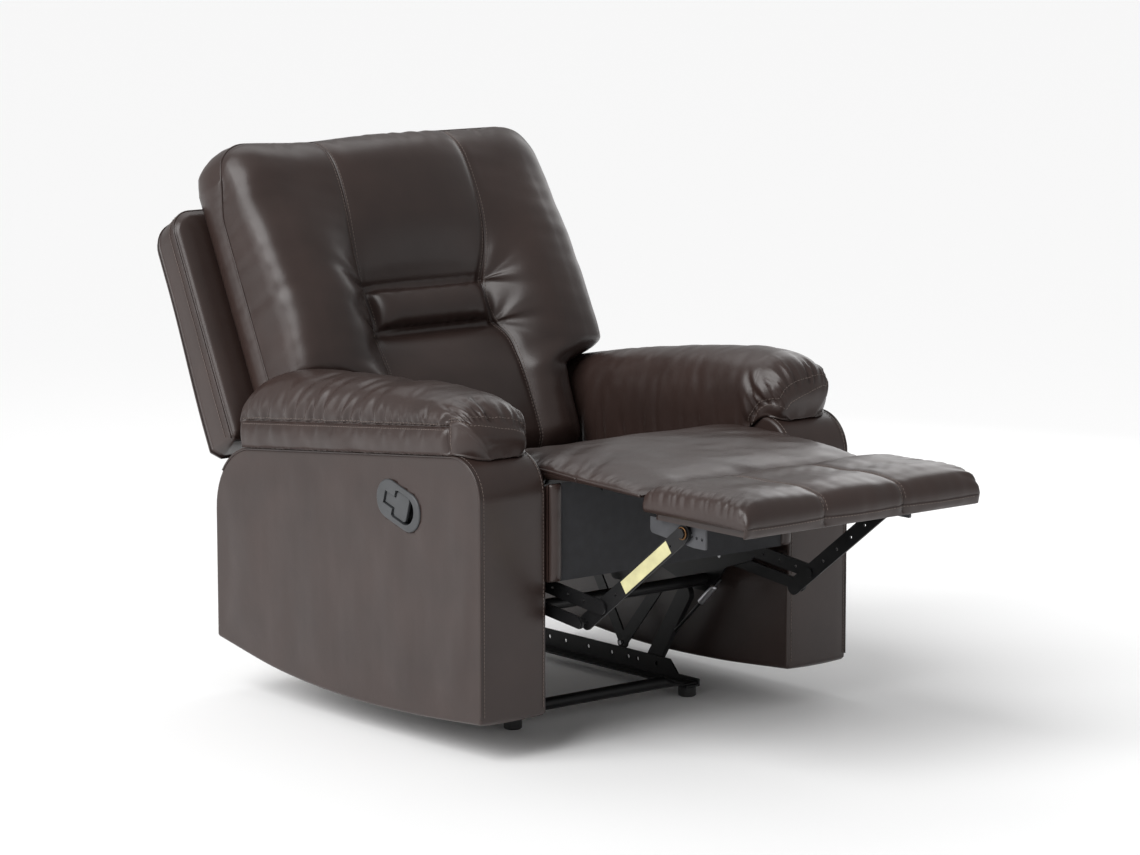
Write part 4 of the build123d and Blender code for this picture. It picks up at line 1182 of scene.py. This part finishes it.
def make_rear_flap():
    """Black cloth from the seat's rear edge to the seat-back's foot, which closes the gap behind the seat."""
    across, along = np.linspace(-0.258, 0.258, 40), np.linspace(0.0, 1.0, 24)
    x, b = np.meshgrid(across, along)
    y = np.interp(b, (0.0, 0.35, 0.7, 1.0), (0.575, 0.604, 0.630, 0.668))
    z = curve(((0.0, 0.4045), (0.35, 0.388), (0.7, 0.386), (1.0, 0.402)), b)
    cloth = Cushion(across, along, places(x, y, z), places(x, y, z - 0.0015), [])
    flap = cloth.build("rear_flap", MATERIALS["black_fabric"])
    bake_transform(flap, "base", "backrest", start=(0.0, ARM_FRONT + 0.590, 0.40),
             end=(0.0, ARM_FRONT + 0.660, 0.40))


def make_assist_springs():
    """A bright spring barrel on a thin dark rod, inside each side plate."""
    for side in ("left", "right"):
        node_name = "assist_spring_" + side
        low, high = corners(node_name)
        x = (low[0] + high[0]) / 2
        foot = np.array([x, high[1] - 0.002, low[2] + 0.002])
        head = np.array([x, low[1] + 0.002, high[2] - 0.002])
        body = body_of(NODES[node_name])[0]
        path = [foot, (foot + head) / 2, head]
        rod = tube("assist_rod_" + side, path, 0.003, MATERIALS["black_steel"])
        settle(rod, body, node_name, slot="black_steel")
        share = np.array([0.56, 0.575, 0.59, 0.84, 0.855, 0.87])[:, None]
        path = foot + share * (head - foot)
        barrel = tube("assist_barrel_" + side, path, 0.0066, MATERIALS["bright_steel"], sides=20)
        settle(barrel, body, slot="bright_steel")


def make_washers():
    """A bronze washer behind each outer pivot of the footrest linkage."""
    turn = np.arange(28) * 2 * math.pi / 28
    for node_name, radius in (("knee_pins", 0.0094), ("footrest_bolts", 0.0102)):
        low, high = corners(node_name)
        y, z = (low[1] + high[1]) / 2, (low[2] + high[2]) / 2
        for side, x in (("left", high[0] - 0.0045), ("right", low[0] + 0.0045)):
            ring = np.stack([np.full(28, x), y + radius * np.cos(turn), z + radius * np.sin(turn)], axis=-1)
            washer = tube(f"{node_name}_washer_{side}", ring, 0.0016, BRONZE, closed=True)
            settle(washer, body_of(NODES[node_name])[0], slot="bright_steel")


# ---------------- shell behind the seat-back
SHELL_LOW, SHELL_TOP, SHELL_CORNER = 0.1535, 0.616, 0.046
SHELL_DEEP = 0.085
SHELL_EDGE = 0.006


def make_shell():
    """The leather box behind the seat-back's cushion."""
    half = ARM_OUTER - SHELL_EDGE
    turn = quarter(10)
    bend = ARM_OUTER - SHELL_CORNER + (SHELL_CORNER - SHELL_EDGE) * np.sin(turn)
    across = np.concatenate([-bend[::-1], np.linspace(-bend[0], bend[0], 92)[1:-1], bend])
    along = np.concatenate([[0.0, 0.01, 0.025], np.linspace(0.05, 0.95, 46), [0.975, 0.99, 1.0]])
    x, t = np.meshgrid(across, along)
    over = np.maximum(np.abs(x) - (ARM_OUTER - SHELL_CORNER), 0.0)
    radius = SHELL_CORNER - SHELL_EDGE
    top = SHELL_TOP - SHELL_CORNER + np.sqrt(np.maximum(radius ** 2 - over ** 2, 0.0))
    low = SHELL_LOW + SHELL_EDGE
    v = low + t * (top - low)
    from_edge = np.minimum(np.minimum(half - np.abs(x), v - low), top - v)
    front = back_places(x, v, 0.0005 + 0.012 * shoulder(from_edge, 0.045, 2.0))
    crown = 0.0015 * smooth(from_edge / 0.12) + 0.0012 * ripple(x, v, 171, 0.25) * smooth(from_edge / 0.06)
    rear_share = 1.0 - 0.017 / half
    rear_v = low + t * (top - 0.017 * smooth((v - low) / 0.1) - low)
    flare = 0.014 * smooth((0.50 - v) / 0.30)
    rear = back_places(x * rear_share, rear_v, -SHELL_DEEP - crown - flare + 0.001)
    profile = rounded(SHELL_DEEP, SHELL_EDGE, 0.020, swell=0.001)
    shell = banded(across, along, front, rear, profile)
    settle(shell.build("back_shell_leather"), "backrest", "back_shell")

    def over_top(ring):
        sides = rim_sides(ring, len(along), len(across))
        return np.concatenate([sides[1][:-1], sides[2][:-1], sides[3]])

    welt("back_shell_welt", over_top(shell.rings[2]), 0.0023, "backrest")
    path = over_top(shell.rings[4])
    outward = turned_out(unit(np.cross(np.gradient(path, axis=0), BEHIND)), path)
    sew("back_shell_stitches", [(path + 0.0006 * outward, outward)], "backrest")


# ---------------- stage
FLOOR_HALF = 30.0


def make_stage():
    floor = new_material("stage_floor", (0.95, 0.95, 0.95), 0.8)[0]
    spots = [(-FLOOR_HALF, -FLOOR_HALF, 0), (FLOOR_HALF, -FLOOR_HALF, 0), (FLOOR_HALF, FLOOR_HALF, 0),
             (-FLOOR_HALF, FLOOR_HALF, 0)]
    ground = new_object("floor", spots, [(0, 1, 2, 3)], floor)
    world = bpy.data.worlds.new("studio")
    SCENE.world = world
    world.use_nodes = True
    sky = world.node_tree.nodes["Background"]
    sky.inputs["Color"].default_value = (1.0, 1.0, 1.0, 1.0)
    sky.inputs["Strength"].default_value = 0.44
    SCENE.view_settings.view_transform = "Standard"


def make_light(name, place, aim, size, power):
    data = bpy.data.lights.new(name, "AREA")
    data.shape = "RECTANGLE"
    data.size, data.size_y = size
    data.energy = power
    light = bpy.data.objects.new(name, data)
    SCENE.collection.objects.link(light)
    light.location = place
    light.rotation_euler = (Vector(aim) - Vector(place)).to_track_quat("-Z", "Y").to_euler()


def make_lights():
    centre = (0.0, 0.1, 0.5)
    sun = bpy.data.lights.new("window_sun", "SUN")
    sun.energy = 2.8
    sun.angle = math.radians(50.0)
    key = bpy.data.objects.new("window_sun", sun)
    SCENE.collection.objects.link(key)
    key.rotation_euler = Vector((2.2, 0.1, -1.9)).to_track_quat("-Z", "Y").to_euler()
    make_light("rear_rim", (2.6, 1.2, 1.7), centre, (1.4, 1.8), 12.0)
    make_light("top_soft", (0.4, 1.4, 2.9), centre, (2.2, 1.4), 12.0)
    make_light("left_panel", (-2.6, 1.2, 1.2), centre, (0.9, 1.8), 11.0)


CAMERA_PLACE = (-4.60764, -5.55762, 1.65936)
CAMERA_RIGHT, CAMERA_UP = (0.771529, -0.636194, -0.000867), (0.099066, 0.118794, 0.987965)


def make_camera():
    data = bpy.data.cameras.new("camera")
    camera = bpy.data.objects.new("camera", data)
    SCENE.collection.objects.link(camera)
    right, up = Vector(CAMERA_RIGHT), Vector(CAMERA_UP)
    turn = Matrix((right, up, right.cross(up))).transposed().to_4x4()
    camera.matrix_world = Matrix.Translation(CAMERA_PLACE) @ turn
    data.sensor_width = 36.0
    data.lens = 124.35
    data.clip_end = 60.0
    SCENE.camera = camera


make_stage()
make_lights()
make_camera()
make_back_cushion()
make_shell()
for arm_hand, arm_side in ((-1, "right"), (1, "left")):
    dress_arm(arm_hand, arm_side)
    make_pad(arm_hand, arm_side)
make_seat()
make_leg_rest()
make_front_rolls()
make_rear_flap()
make_assist_springs()
make_washers()
for covered in ("front_board", "footrest_board"):
    NODES[covered].data.materials[0] = LEATHER
for pinned in ("knee_pins", "tail_pins", "footrest_bolts"):
    NODES[pinned].data.materials[0] = MATERIALS["black_steel"]
